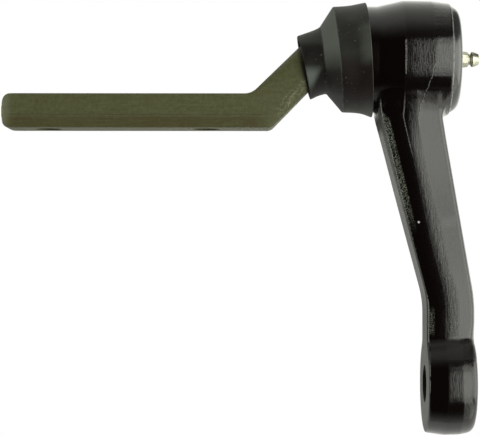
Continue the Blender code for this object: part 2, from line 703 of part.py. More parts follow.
def cover_dome_x(radius):
    """The cover's outer face at a radius: flat in the middle, then falling to the edge."""
    edge = COVER_RADIUS - COVER_EDGE_RADIUS
    share = min(max((radius - COVER_SEAT_RADIUS) / (edge - COVER_SEAT_RADIUS), 0.0), 1.0)
    return COVER_FACE_X - COVER_DOME * share**2


def make_cover(steel, parent):
    """A pressed cup with a flange that the arm's rim is rolled over, and a hole for the nipple."""
    hole = NIPPLE_THREAD_RADIUS + TOUCH_GAP
    edge_radius = COVER_RADIUS - COVER_EDGE_RADIUS
    edge_x = LIP_X + COVER_STAND - COVER_EDGE_RADIUS
    radii = [hole] + list(np.linspace(COVER_SEAT_RADIUS, edge_radius, DOME_STEPS + 1))
    outside = [(cover_dome_x(radius), radius) for radius in radii]
    outside += arc(edge_x, edge_radius, COVER_EDGE_RADIUS, 0.0, 90.0, COVER_EDGE_STEPS)[1:]
    outside += [
        (COVER_FLANGE_X + COVER_WALL, COVER_RADIUS),
        (COVER_FLANGE_X + COVER_WALL, COVER_FLANGE_RADIUS),
        (COVER_FLANGE_X, COVER_FLANGE_RADIUS),
        (COVER_FLANGE_X, COVER_RADIUS - COVER_WALL),
    ]
    inside = arc(edge_x, edge_radius, COVER_EDGE_RADIUS - COVER_WALL, 90.0, 0.0, COVER_EDGE_STEPS)[:-1]
    inside += [(cover_dome_x(radius) - COVER_WALL, radius) for radius in reversed(radii)]
    return add_object("end_cover", turn(outside + inside), steel, parent)


def make_seal(rubber, parent):
    """A flat ring between the cover's flange and its seat."""
    profile = [
        (SEAL_X, CAVITY_RADIUS + TOUCH_GAP),
        (SEAL_X + SEAL_THICKNESS, CAVITY_RADIUS + TOUCH_GAP),
        (SEAL_X + SEAL_THICKNESS, COVER_FLANGE_RADIUS),
        (SEAL_X, COVER_FLANGE_RADIUS),
    ]
    return add_object("cover_seal", turn(profile), rubber, parent)


def nipple_seat_x():
    """Where the nipple's bore starts to close towards its mouth."""
    return NIPPLE_END_X - NIPPLE_MOUTH_DEPTH - (NIPPLE_BORE_RADIUS - NIPPLE_MOUTH_RADIUS)


def make_nipple_body(brass, parent):
    """Thread, hexagon, waist and head, bored through for the ball and its spring."""
    flat = NIPPLE_HEX_FLATS / 2
    corner = flat / math.cos(math.pi / 6)
    core = (NIPPLE_WAIST_RADIUS + flat) / 2
    tail_mouth = NIPPLE_BORE_RADIUS - NIPPLE_TAIL_LIP
    profile = [
        (NIPPLE_TAIL_X, tail_mouth),
        (NIPPLE_TAIL_X, NIPPLE_THREAD_RADIUS),
        (NIPPLE_X, NIPPLE_THREAD_RADIUS),
        (NIPPLE_X, core),
        (NIPPLE_WAIST_X, core),
        (NIPPLE_WAIST_X, NIPPLE_WAIST_RADIUS),
        (NIPPLE_HEAD_X - NIPPLE_HEAD_SLOPE, NIPPLE_WAIST_RADIUS),
        (NIPPLE_HEAD_X + NIPPLE_HEAD_SLOPE, NIPPLE_HEAD_RADIUS),
        (NIPPLE_END_X - NIPPLE_TIP_EDGE, NIPPLE_TIP_RADIUS),
        (NIPPLE_END_X, NIPPLE_TIP_RADIUS - NIPPLE_TIP_EDGE),
        (NIPPLE_END_X, NIPPLE_MOUTH_RADIUS),
        (NIPPLE_END_X - NIPPLE_MOUTH_DEPTH, NIPPLE_MOUTH_RADIUS),
        (nipple_seat_x(), NIPPLE_BORE_RADIUS),
        (NIPPLE_TAIL_X + NIPPLE_TAIL / 2, NIPPLE_BORE_RADIUS),
        (NIPPLE_TAIL_X + NIPPLE_TAIL / 2, tail_mouth),
    ]
    body = add_object("nipple_body", turn(profile, SMALL_STEPS), brass, parent)
    bm = bmesh.new()
    bmesh.ops.create_cone(
        bm,
        cap_ends=True,
        segments=6,
        radius1=corner,
        radius2=corner,
        depth=NIPPLE_HEX_HEIGHT,
        matrix=Matrix.Rotation(math.pi / 2, 4, "Y"),
    )
    place = ((NIPPLE_X + NIPPLE_WAIST_X) / 2, 0.0, 0.0)
    hexagon = add_object("nipple_hexagon", bm, brass, parent, place)
    bore = turn(
        [
            (NIPPLE_X - NIPPLE_TAIL, 0.0),
            (NIPPLE_X - NIPPLE_TAIL, NIPPLE_BORE_RADIUS),
            (NIPPLE_HEAD_X, NIPPLE_BORE_RADIUS),
            (NIPPLE_HEAD_X, 0.0),
        ],
        SMALL_STEPS,
    )
    fuse(body, hexagon)
    cut(body, add_object("nipple_bore", bore, brass, parent))
    return body


def ball_x():
    """The ball's centre at rest, a touch gap off its conical seat."""
    seat_angle = math.pi / 4
    slack = (NIPPLE_BALL_RADIUS + TOUCH_GAP) / math.sin(seat_angle) - NIPPLE_BORE_RADIUS
    return nipple_seat_x() - slack


def make_ball(steel, parent):
    """The check ball, its origin at its centre."""
    bm = bmesh.new()
    bmesh.ops.create_icosphere(bm, subdivisions=2, radius=NIPPLE_BALL_RADIUS)
    return add_object("nipple_ball", bm, steel, parent, (ball_x(), 0.0, 0.0))


def make_nipple_spring(steel, parent):
    """A wound wire between the turned-in tail of the nipple and the ball."""
    start = NIPPLE_TAIL_X + NIPPLE_TAIL / 2 + NIPPLE_WIRE_RADIUS + TOUCH_GAP
    end = ball_x() - NIPPLE_BALL_RADIUS - NIPPLE_WIRE_RADIUS - TOUCH_GAP
    coil = NIPPLE_BORE_RADIUS - TOUCH_GAP - NIPPLE_WIRE_RADIUS
    steps = NIPPLE_SPRING_TURNS * SPRING_STEPS
    curve = bpy.data.curves.new("nipple_spring", "CURVE")
    curve.dimensions = "3D"
    curve.bevel_depth = NIPPLE_WIRE_RADIUS
    curve.bevel_resolution = 0
    curve.use_fill_caps = True
    spline = curve.splines.new("POLY")
    spline.points.add(steps)
    for k in range(steps + 1):
        angle = 2.0 * math.pi * NIPPLE_SPRING_TURNS * k / steps
        x = start + (end - start) * k / steps
        spline.points[k].co = (x, coil * math.cos(angle), coil * math.sin(angle), 1.0)
    curve.materials.append(steel)
    spring = bpy.data.objects.new("nipple_spring", curve)
    spring.parent = parent
    bpy.context.collection.objects.link(spring)
    return spring


def main():
    for item in list(bpy.data.objects):
        bpy.data.objects.remove(item)

    phosphate = paint("olive_phosphate", (0.08, 0.082, 0.043), 0.55, 0.35)
    black_paint = paint("black_paint", (0.012, 0.011, 0.012), 0.28, 0.0)
    rubber = paint("boot_rubber", (0.035, 0.038, 0.036), 0.5, 0.0)
    bare_steel = paint("bare_steel", (0.55, 0.55, 0.56), 0.3, 1.0)
    bronze = paint("bearing_bronze", (0.55, 0.36, 0.16), 0.4, 1.0)
    brass = paint("pale_brass", (0.72, 0.62, 0.38), 0.3, 1.0)
    spring_steel = paint("spring_steel", (0.35, 0.36, 0.38), 0.35, 1.0)

    pivot = bpy.data.objects.new("arm_pivot", None)
    pivot.location = (0.0, 0.0, PIVOT_HEIGHT)
    bpy.context.collection.objects.link(pivot)

    make_bracket(bare_steel, phosphate)
    make_boot(rubber)
    make_arm(black_paint, pivot)
    make_washer("boot_side_washer", FIRST_WASHER_X, spring_steel, pivot)
    make_bushing("boot_side_bushing", FIRST_FLANGE_X, 1, bronze, pivot)
    make_bushing("cover_side_bushing", SECOND_FLANGE_X, -1, bronze, pivot)
    make_washer("cover_side_washer", SECOND_WASHER_X, spring_steel, pivot)
    make_preload_spring(spring_steel, pivot)
    make_retaining_ring(spring_steel, pivot)
    make_cover(black_paint, pivot)
    make_seal(rubber, pivot)
    make_nipple_body(brass, pivot)
    make_ball(bare_steel, pivot)
    make_nipple_spring(bare_steel, pivot)


main()
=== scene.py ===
import math

import bmesh
import bpy
import numpy as np
from mathutils import Matrix, Vector


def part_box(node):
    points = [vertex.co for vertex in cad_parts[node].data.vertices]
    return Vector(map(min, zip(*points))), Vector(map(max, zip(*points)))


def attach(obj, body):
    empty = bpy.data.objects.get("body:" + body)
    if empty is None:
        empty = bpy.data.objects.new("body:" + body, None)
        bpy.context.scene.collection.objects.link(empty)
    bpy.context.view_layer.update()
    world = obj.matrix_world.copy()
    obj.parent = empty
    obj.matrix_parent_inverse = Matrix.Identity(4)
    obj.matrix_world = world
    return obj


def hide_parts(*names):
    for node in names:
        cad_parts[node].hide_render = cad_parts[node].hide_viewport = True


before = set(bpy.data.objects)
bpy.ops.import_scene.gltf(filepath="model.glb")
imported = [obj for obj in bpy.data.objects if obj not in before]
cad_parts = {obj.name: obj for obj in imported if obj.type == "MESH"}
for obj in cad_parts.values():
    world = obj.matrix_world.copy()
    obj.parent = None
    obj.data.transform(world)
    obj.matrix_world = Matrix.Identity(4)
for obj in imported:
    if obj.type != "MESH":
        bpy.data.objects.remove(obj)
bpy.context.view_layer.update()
print("frame loaded:", len(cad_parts), "nodes")

# Places that every piece shares, in millimetres and read from the frame. X runs along the pivot's axis,
# Z is up, and the whole part is the same on both sides of Y = 0.
mm = 0.001
armLow, armHigh = (np.array(corner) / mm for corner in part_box("idler_arm"))
bracketLow, bracketHigh = (np.array(corner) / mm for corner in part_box("frame_bracket"))
bootLow, bootHigh = (np.array(corner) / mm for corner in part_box("dust_boot"))
coverLow, coverHigh = (np.array(corner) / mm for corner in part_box("end_cover"))
nippleLow, nippleHigh = (np.array(corner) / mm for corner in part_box("nipple_body"))
pivotZ = (nippleLow[2] + nippleHigh[2]) / 2
noseX = armLow[0]
touchGap = 0.3
weldGap = 0.002


# Mesh tools

def makeObject(name, points, faces):
    # an object from two arrays: its points in millimetres, and the four point numbers of each face
    mesh = bpy.data.meshes.new(name)
    mesh.vertices.add(len(points))
    mesh.vertices.foreach_set("co", (points * mm).astype(np.float32).ravel())
    mesh.loops.add(faces.size)
    mesh.loops.foreach_set("vertex_index", faces.astype(np.int32).ravel())
    mesh.polygons.add(len(faces))
    mesh.polygons.foreach_set("loop_start", np.arange(0, faces.size, faces.shape[1], dtype=np.int32))
    mesh.update(calc_edges=True)
    item = bpy.data.objects.new(name, mesh)
    bpy.context.scene.collection.objects.link(item)
    return item


def gridFaces(rows, columns, closedRows):
    # quads between neighbouring rows of a grid whose columns always close round
    row = np.arange(rows if closedRows else rows - 1)[:, None]
    column = np.arange(columns)[None, :]
    nextRow = (row + 1) % rows
    nextColumn = (column + 1) % columns
    corners = [row * columns + column, row * columns + nextColumn,
               nextRow * columns + nextColumn, nextRow * columns + column]
    return np.stack(corners, axis=-1).reshape(-1, 4)


def weld(item, sharpAngle):
    # merges the points that meet at poles, turns the faces outwards and keeps real edges crisp
    work = bmesh.new()
    work.from_mesh(item.data)
    bmesh.ops.remove_doubles(work, verts=work.verts, dist=weldGap * mm)
    bmesh.ops.dissolve_degenerate(work, edges=work.edges, dist=weldGap / 2 * mm)
    bmesh.ops.recalc_face_normals(work, faces=work.faces)
    work.to_mesh(item.data)
    work.free()
    item.data.shade_smooth()
    item.data.set_sharp_from_angle(angle=math.radians(sharpAngle))
    return item


def rounded(outline, radii, steps=5):
    # a closed outline with each corner replaced by a parabola's arc, which starts and ends a radius from it
    outline = np.asarray(outline, float)
    radii = np.broadcast_to(np.asarray(radii, float), len(outline))

    def towards(others):
        gap = others - outline
        length = np.maximum(np.linalg.norm(gap[:, :2], axis=1, keepdims=True), 1e-6)
        return outline + gap * np.minimum(radii[:, None] / length, 0.5)

    start = towards(np.roll(outline, 1, axis=0))[:, None]
    end = towards(np.roll(outline, -1, axis=0))[:, None]
    t = np.linspace(0.0, 1.0, steps)[None, :, None]
    arcs = (1 - t) ** 2 * start + 2 * t * (1 - t) * outline[:, None] + t**2 * end
    return arcs.reshape(-1, outline.shape[1])


def spun(name, outline, steps, sharpAngle=35.0, centreZ=None):
    # a closed outline of (x, radius) carried round the pivot's axis: y = radius sin a, z = radius cos a
    centreZ = pivotZ if centreZ is None else centreZ
    angle = 2 * math.pi * np.arange(steps) / steps
    x = np.repeat(outline[:, 0:1], steps, axis=1)
    y = outline[:, 1:2] * np.sin(angle)
    z = outline[:, 1:2] * np.cos(angle) + centreZ
    points = np.stack([x, y, z], axis=-1).reshape(-1, 3)
    item = makeObject(name, points, gridFaces(len(outline), steps, True))
    return weld(item, sharpAngle)


def cutAway(item, *cutters):
    # takes closed cutters out of a piece and bakes the result into its mesh
    for cutter in cutters:
        boolean = item.modifiers.new("cut", "BOOLEAN")
        boolean.operation = "DIFFERENCE"
        boolean.solver = "MANIFOLD"
        boolean.object = cutter
    bpy.context.view_layer.update()
    baked = bpy.data.meshes.new_from_object(item.evaluated_get(bpy.context.evaluated_depsgraph_get()))
    item.modifiers.clear()
    item.data = baked
    for cutter in cutters:
        bpy.data.objects.remove(cutter)
    return item


def contour(field, low, high, cell):
    # the closed surface where a field is zero. Each cell that it crosses gets one point, the one that lies
    # nearest to all the tangent planes where the surface cuts the cell's edges, so crisp edges stay crisp
    counts = np.ceil((high - low) / cell).astype(int) + 1
    axes = [low[i] + cell * np.arange(counts[i]) for i in range(3)]
    values = field(*np.meshgrid(*axes, indexing="ij"))
    inside = values < 0
    cells = counts - 1
    reach = 0.04                # how far the slope is measured each way
    steady = 0.04               # pull towards the middle of the crossings, so that flat cells have an answer
    slack = 0.05                # how far a point may leave its cell, as a share of the cell
    owners, crossings, tangents, flips = [], [], [], []
    for axis in range(3):
        step = np.zeros(3, int)
        step[axis] = 1
        lower = tuple(slice(0, counts[i] - step[i]) for i in range(3))
        upper = tuple(slice(step[i], counts[i]) for i in range(3))
        edge = np.argwhere(inside[lower] != inside[upper])
        first = values[tuple(edge.T)]
        second = values[tuple((edge + step).T)]
        point = low + cell * (edge + step * (first / (first - second))[:, None])
        slope = np.stack([
            field(*(point + reach * shift).T) - field(*(point - reach * shift).T) for shift in np.eye(3)
        ], axis=-1)
        slope /= np.maximum(np.linalg.norm(slope, axis=1, keepdims=True), 1e-9)
        across = np.zeros(3, int)
        across[(axis + 1) % 3] = 1
        up = np.zeros(3, int)
        up[(axis + 2) % 3] = 1
        around = np.stack([edge, edge - across, edge - across - up, edge - up], axis=1)
        owners.append((around[..., 0] * cells[1] + around[..., 1]) * cells[2] + around[..., 2])
        crossings.append(point)
        tangents.append(slope)
        flips.append(~inside[tuple(edge.T)])
    owners = np.concatenate(owners)
    flips = np.concatenate(flips)
    point = np.repeat(np.concatenate(crossings), 4, axis=0)
    normal = np.repeat(np.concatenate(tangents), 4, axis=0)
    used, place = np.unique(owners.ravel(), return_inverse=True)
    place = place.ravel()
    total = len(used)

    def gather(weights):
        return np.bincount(place, weights=weights, minlength=total)

    count = gather(None)
    middle = np.stack([gather(point[:, i]) for i in range(3)], axis=-1) / count[:, None]
    fromMiddle = point - middle[place]
    plane = np.sum(fromMiddle * normal, axis=1)
    spread = np.array([[gather(normal[:, i] * normal[:, j]) for j in range(3)] for i in range(3)])
    spread = spread.transpose(2, 0, 1) + steady * count[:, None, None] * np.eye(3)
    pull = np.stack([gather(normal[:, i] * plane) for i in range(3)], axis=-1)
    shift = np.linalg.solve(spread, pull[..., None])[..., 0]
    corner = np.stack(np.unravel_index(used, cells), axis=-1) * cell + low
    placed = np.clip(middle + shift, corner - slack * cell, corner + (1 + slack) * cell)
    faces = place.reshape(-1, 4)
    faces[flips] = faces[flips][:, ::-1]
    return placed, faces


def smoothUnion(a, b, width):
    # the lower of two fields, with a fillet where they come within the width of each other
    near = np.maximum(width - np.abs(a - b), 0.0) / width
    return np.minimum(a, b) - near**2 * width / 4


def smoothCut(a, b, width):
    # the higher of two fields, with its edge rounded: a smooth union of what is left out
    return -smoothUnion(-a, -b, width)


def easeStep(value, start, end):
    # 0 before start, 1 after end, and an S curve between
    share = np.clip((value - start) / (end - start), 0.0, 1.0)
    return share * share * (3 - 2 * share)


def easeBetween(value, places, sizes):
    # goes from the first size to the second as the value goes from the first place to the second
    return sizes[0] + (sizes[1] - sizes[0]) * easeStep(value, *places)


def followLine(value, pairs, soft=0.0):
    # straight lines through pairs of place and size, with their bends softened over a length
    places, sizes = zip(*pairs)
    shifts = np.linspace(-soft, soft, 5) if soft else [0.0]
    return sum(np.interp(value + shift, places, sizes) for shift in shifts) / len(shifts)


# Shader tools

class Wire:
    # one output of a node. A sum of wires and numbers adds Math nodes, and node() adds any other node

    def __init__(self, tree, socket=None):
        self.tree = tree
        self.socket = socket

    def node(self, kind, settings, inputs, output=0):
        made = self.tree.nodes.new("ShaderNode" + kind)
        for name, value in settings.items():
            if name == "stops":
                while len(made.color_ramp.elements) < len(value):
                    made.color_ramp.elements.new(1.0)
                for element, (place, shade) in zip(made.color_ramp.elements, value):
                    element.position = place
                    element.color = (shade, shade, shade, 1.0)
            else:
                setattr(made, name, value)
        for name, value in inputs.items():
            if isinstance(value, Wire):
                self.tree.links.new(value.socket, made.inputs[name])
            else:
                made.inputs[name].default_value = value
        return Wire(self.tree, made.outputs[output])

    def sum(self, operation, first, second=0.0):
        return self.node("Math", {"operation": operation}, {0: first, 1: second})

    def __add__(self, other):
        return self.sum("ADD", self, other)

    def __sub__(self, other):
        return self.sum("SUBTRACT", self, other)

    def __rsub__(self, other):
        return self.sum("SUBTRACT", other, self)

    def __mul__(self, other):
        return self.sum("MULTIPLY", self, other)

    __radd__ = __add__
    __rmul__ = __mul__


def absolute(wire):
    return wire.sum("ABSOLUTE", wire)


def between(wire, start, end):
    # a wire mapped to 0 at start and 1 at end, with an S curve between
    return wire.node("MapRange", {"interpolation_type": "SMOOTHSTEP"},
                     {"Value": wire, "From Min": start, "From Max": end})


def band(wire, low, high, soft):
    # 1 between low and high, fading to 0 over soft outside them
    return between(wire, low - soft, low) * between(wire, high + soft, high)


def blendColour(factor, first, second):
    # sockets 6 and 7 are the two colours of a Mix node, and output 2 is its colour
    first, second = (shade + (1.0,) if isinstance(shade, tuple) else shade for shade in (first, second))
    return factor.node("Mix", {"data_type": "RGBA"}, {0: factor, 6: first, 7: second}, 2)


def layered(colour, shades, marks):
    # lays shades over a colour, one after the other, each by its own mask
    for shade, mask in marks:
        colour = blendColour(mask, colour, shades[shade])
    return colour


def objectPlace(tree, scale=(1.0, 1.0, 1.0)):
    # the piece's own coordinates in millimetres, stretched by the scale
    start = Wire(tree)
    place = start.node("TexCoord", {}, {}, 3)
    stretch = tuple(s / mm for s in scale)
    return start.node("Mapping", {}, {"Vector": place, "Scale": stretch})


def grain(place, size, detail=3.0, roughness=0.55):
    # soft noise whose lumps are about one size across, in millimetres
    return place.node("TexNoise", {}, {"Vector": place, "Scale": 1.0 / size, "Detail": detail,
                                       "Roughness": roughness})


def axesOf(place):
    # the X, Y and Z of a place as three wires
    parts = place.node("SeparateXYZ", {}, {"Vector": place}, 0)
    return [Wire(place.tree, parts.socket.node.outputs[i]) for i in range(3)]


def spot(place, centre, radius):
    # a soft round mark on the surface: 1 at its centre and 0 a radius away, in millimetres
    away = place.node("VectorMath", {"operation": "DISTANCE"}, {0: place, 1: centre}, 1)
    return between(away, radius, radius * 0.25)


def relief(height, depth, strength=1.0, below=None):
    # bump of a depth in millimetres, over another bump where one is given
    inputs = {"Height": height, "Distance": depth * mm, "Strength": strength}
    if below is not None:
        inputs["Normal"] = below
    return height.node("Bump", {}, inputs)


def newMaterial(name, constants):
    # a material, its tree and its Principled shader, with the sockets that never vary already set
    material = bpy.data.materials.new(name)
    material.use_nodes = True
    shader = material.node_tree.nodes["Principled BSDF"]
    for socket, value in constants.items():
        shader.inputs[socket].default_value = value
    return material, material.node_tree, shader


def join(tree, shader, **links):
    # links wires to the shader's sockets, whose names are given with _ for a space
    for name, wire in links.items():
        tree.links.new(wire.socket, shader.inputs[name.replace("_", " ")])


def dress(item, material):
    # gives an object one material in place of its own
    item.data.materials.clear()
    item.data.materials.append(material)
    return item


# Forged arm: upper eye, beam and lower eye as one field in millimetres, with z measured from the pivot

arm = {
    "cell": 0.7,
    "housingRadius": armHigh[2] - pivotZ,
    "noseStep": 2.6,
    "noseLength": 7.5,
    "noseEdge": 1.2,
    "ridge": 18.9,             # parting line on the housing, from the nose
    "secondEdge": [(-34.0, 25.5), (-24.0, 26.2), (-19.0, 27.6), (-11.0, 30.8), (-3.0, 32.5), (3.0, 32.7)],
    "secondWaves": [(0.22, 1.15, 0.0), (0.13, 2.9, 1.0)],       # size, turn for each mm, and start
    "rimX": 41.1,
    "rimEdge": 0.9,
    "sag": 0.22,               # how much the middle band falls towards the second edge
    "draft": 1.1,
    "eyeX": 30.0,
    "eyeWidth": armHigh[0] - noseX - 30.0,
    "eyeRadius": 23.9,
    "eyeCrown": [(0.0, 0.95), (0.37, 1.0), (0.61, 0.99), (1.0, 0.935)],     # radius across the eye
    "eyeFillet": 2.5,
    "eyeShares": (0.385, 0.69),
    "beamTop": -24.0,
    "beamTopStart": 6.4,
    "beamTopWidth": 30.0,
    "beamFootWidth": 22.7,
    "beamFootDepth": 25.8,     # of the whole section, by the lower eye
    "beamDraft": 0.083,        # how fast that depth grows upwards, as far as beamFullZ
    "beamFullZ": -17.0,
    "beamEndZ": -12.0,         # where the beam ends inside the housing, after sinking in
    "beamSink": 9.0,
    "beamSinkZ": (-19.0, -7.0),
    "beamEdge": 1.0,
    "fall": [                  # how far the front falls back across the beam, as a share of its depth
        (0.0, 0.25), (0.045, 0.115), (0.09, 0.085), (0.14, 0.053), (0.20, 0.024), (0.26, 0.009),
        (0.32, 0.002), (0.37, 0.0), (0.45, 0.004), (0.53, 0.016), (0.61, 0.038), (0.93, 0.36), (1.0, 0.48),
    ],
    "leftCalm": (1.0, 0.4),    # how much of that fall the left zone has, at the top and further down
    "leftCalmZ": (-25.0, -90.0),
    "shoulder": 4.5,           # extra depth of the right edge at the top of the beam
    "shoulderZ": (-100.0, -18.0),
    "topFlare": [(0.37, 0.8), (0.61, 2.3), (1.0, 1.8)],         # extra depth where the beam meets the housing
    "topFlareZ": (-42.0, -20.0),
    "sideLean": 0.92,          # cosines of the beam's leaning sides, which keep its fillets even
    "leftLean": 0.96,
    "rightLean": 0.98,
    "leftEdge": (2.2, 1.1),
    "leftEdgeZ": (-38.0, -62.0),
    "rightEdge": (2.4, 4.0),
    "rightEdgeRise": (6.0, -2.0),          # over the top of the eye
    "rootFillet": (2.4, 5.4),  # between beam and housing, from left to right
    "rootShare": (-0.1, 0.3),
    "kneeRise": 39.5,
    "kneeSpan": 14.0,
    "kneeSoftness": 0.4,       # as a share of the span
    "partingShare": [
        (-130.0, 0.365), (-111.0, 0.375), (-93.0, 0.35), (-72.0, 0.345), (-58.0, 0.375), (-31.0, 0.37),
    ],
    "secondShare": [
        (-130.0, 0.645), (-110.0, 0.65), (-94.0, 0.59), (-75.0, 0.60), (-62.0, 0.565), (-46.0, 0.555),
        (-31.0, 0.60),
    ],
    "shareSoftness": 9.0,
    "beamShareZ": (-24.0, -30.0),          # where the housing's shares give way to the beam's
    "eyeShareRise": (21.5, 18.5),          # where the beam's give way to the eye's, over its centre
    "boreRadius": 13.0,
    "cavityX": 31.0,
    "cavityRadius": 21.2,
    "seatX": 36.5,
    "seatRadius": 25.5,
    "lipX": 40.2,
    "lipRadius": 25.1,
    "taperRadius": 8.75,
    "taperRate": 1 / 16,
    "margin": 1.5,
    "cutterReach": 9.0,
    "taperReach": 4.0,
    "boreSteps": 160,
    "taperSteps": 96,
    "sharpAngle": 42.0,
}
arm["eyeZ"] = armLow[2] - pivotZ + arm["eyeRadius"]

# The same lines on every part of the forging, as shares from its left face to its right one
sectionLines = {"parting": 0.37, "second": 0.61}


def standardShare(share, parting, second):
    # stretches a share so that the parting line and the second edge always come to the same numbers
    standard = [0.0, sectionLines["parting"], sectionLines["second"], 1.0]
    left = share / parting * standard[1]
    middle = standard[1] + (share - parting) / (second - parting) * (standard[2] - standard[1])
    right = standard[2] + (share - second) / (1 - second) * (1 - standard[2])
    return np.where(share < parting, left, np.where(share < second, middle, right))


def beamFlanks(z):
    # left and right X of the beam at a height: straight lines, averaged over a length to bend softly
    knee = arm["eyeZ"] + arm["kneeRise"]
    heights = [knee - arm["kneeSpan"] / 2, knee, arm["beamTop"]]
    footX = noseX + arm["eyeX"]
    topX = noseX + arm["beamTopStart"]
    footEnd = footX + arm["beamFootWidth"]
    topEnd = topX + arm["beamTopWidth"]
    shifts = np.linspace(-1.0, 1.0, 7) * arm["kneeSpan"] * arm["kneeSoftness"]
    left = sum(np.interp(z + shift, heights, [footX, footX, topX]) for shift in shifts)
    right = sum(np.interp(z + shift, heights, [footEnd, footEnd, topEnd]) for shift in shifts)
    return left / len(shifts), right / len(shifts)


def beamDepth(z):
    # half the beam's depth at a height: it grows evenly up to the housing, and ends inside it
    low = arm["eyeZ"] + arm["eyeRadius"]
    plain = (arm["beamFootDepth"] + (np.clip(z, low, arm["beamFullZ"]) - low) * arm["beamDraft"]) / 2
    return plain - arm["beamSink"] * easeStep(z, *arm["beamSinkZ"])


def secondEdge(z):
    # X of the second edge on the housing at a height: a bent line with two small waves on it
    waves = sum(size * np.sin(z * turn + start) for size, turn, start in arm["secondWaves"])
    return noseX + followLine(z, arm["secondEdge"]) + waves


def armShares(x, z):
    # share across the forging at a point, in the standard numbers, for housing, beam and lower eye
    rim = arm["rimX"]
    left, right = beamFlanks(z)
    soft = arm["shareSoftness"]
    housing = standardShare((x - noseX) / rim, arm["ridge"] / rim, (secondEdge(z) - noseX) / rim)
    beam = standardShare((x - left) / (right - left), followLine(z, arm["partingShare"], soft),
                         followLine(z, arm["secondShare"], soft))
    eye = standardShare((x - noseX - arm["eyeX"]) / arm["eyeWidth"], *arm["eyeShares"])
    return housing, beam, eye


def housingField(x, radius, z):
    # below zero inside the drum: a nose, a cone up to the parting line, a sagging band and a drafted one
    ridge = noseX + arm["ridge"]
    rim = noseX + arm["rimX"]
    second = secondEdge(z)
    full = arm["housingRadius"]
    nose = full - arm["noseStep"]
    cone = nose + (x - noseX - arm["noseLength"]) / (arm["ridge"] - arm["noseLength"]) * arm["noseStep"]
    sag = arm["sag"] * np.clip((x - ridge) / (second - ridge), 0.0, 1.0) ** 2
    taper = full - arm["sag"] - (x - second) / (rim - second) * arm["draft"]
    wall = np.minimum(np.minimum(np.maximum(cone, nose), full - sag), taper)
    return smoothCut(smoothCut(radius - wall, noseX - x, arm["noseEdge"]), x - rim, arm["rimEdge"])


def beamAndEyeField(x, y, z, beam, eye):
    # below zero inside the beam or the lower eye. The beam's depth is the plain one, less the fall across
    # it, plus the shoulder and the flare at its top
    left, right = beamFlanks(z)
    onLeft = easeBetween(z, arm["leftCalmZ"], arm["leftCalm"])
    calm = np.where(beam < sectionLines["parting"], onLeft, 1.0)
    depth = beamDepth(z) * (1 - followLine(beam, arm["fall"]) * calm)
    low, high = arm["shoulderZ"]
    pastSecond = np.clip((beam - sectionLines["second"]) / (1 - sectionLines["second"]), 0.0, 1.0)
    depth = depth + arm["shoulder"] * np.clip((z - low) / (high - low), 0.0, 1.0) * pastSecond
    depth = depth + easeStep(z, *arm["topFlareZ"]) * followLine(beam, arm["topFlare"])
    sides = (np.abs(y) - depth) * arm["sideLean"]
    for end in (z - arm["beamEndZ"], arm["eyeZ"] - z):
        sides = smoothCut(sides, end, arm["beamEdge"])
    eyeSize = arm["eyeRadius"] * followLine(eye, arm["eyeCrown"])
    both = smoothUnion(sides, np.hypot(y, z - arm["eyeZ"]) - eyeSize, arm["eyeFillet"])
    both = smoothCut(both, (left - x) * arm["leftLean"], easeBetween(z, arm["leftEdgeZ"], arm["leftEdge"]))
    eyeTop = arm["eyeZ"] + arm["eyeRadius"]
    edgeZ = [eyeTop + rise for rise in arm["rightEdgeRise"]]
    return smoothCut(both, (x - right) * arm["rightLean"], easeBetween(z, edgeZ, arm["rightEdge"]))


def armField(x, y, z):
    # below zero inside the forging: a drum, a beam and an eye, run into each other with fillets
    _, beam, eye = armShares(x, z)
    drum = housingField(x, np.hypot(y, z), z)
    return smoothUnion(drum, beamAndEyeField(x, y, z, beam, eye),
                       easeBetween(beam, arm["rootShare"], arm["rootFillet"]))


def makeArm():
    # the zero surface of the field, with the share across kept as an attribute, and its round holes cut out
    margin = arm["margin"]
    low = np.array([noseX, -armHigh[1], armLow[2] - pivotZ]) - margin
    high = np.array([armHigh[0], armHigh[1], arm["housingRadius"]]) + margin
    points, faces = contour(armField, low, high, arm["cell"])
    housing, beam, eye = armShares(points[:, 0], points[:, 2])
    toBeam = easeStep(points[:, 2], *arm["beamShareZ"])
    toEye = easeStep(points[:, 2], *(arm["eyeZ"] + rise for rise in arm["eyeShareRise"]))
    share = housing * (1 - toBeam) + toBeam * (beam * (1 - toEye) + toEye * eye)
    points[:, 2] += pivotZ
    item = makeObject("forged_arm", points, faces)
    attribute = item.data.attributes.new("across", "FLOAT", "POINT")
    attribute.data.foreach_set("value", share.astype(np.float32))
    item.data.shade_smooth()
    reach = arm["cutterReach"]
    bore = np.array([
        (-reach, 0.0), (-reach, arm["boreRadius"]), (arm["cavityX"], arm["boreRadius"]),
        (arm["cavityX"], arm["cavityRadius"]), (arm["seatX"], arm["cavityRadius"]),
        (arm["seatX"], arm["seatRadius"]), (arm["lipX"], arm["seatRadius"]),
        (arm["lipX"], arm["lipRadius"]), (arm["rimX"] + reach, arm["lipRadius"]), (arm["rimX"] + reach, 0.0),
    ])
    bore[:, 0] += noseX
    eyeX = noseX + arm["eyeX"]
    over = arm["taperReach"]
    wide = arm["taperRadius"] + over * arm["taperRate"]
    narrow = arm["taperRadius"] - (arm["eyeWidth"] + over) * arm["taperRate"]
    taper = np.array([
        (eyeX - over, 0.0), (eyeX - over, wide),
        (armHigh[0] + over, narrow), (armHigh[0] + over, 0.0),
    ])
    cutAway(item, spun("bore_cutter", bore, arm["boreSteps"]),
            spun("taper_cutter", taper, arm["taperSteps"], centreZ=pivotZ + arm["eyeZ"]))
    item.data.shade_smooth()
    item.data.set_sharp_from_angle(angle=math.radians(arm["sharpAngle"]))
    print("forged arm:", len(item.data.polygons), "faces")
    return item


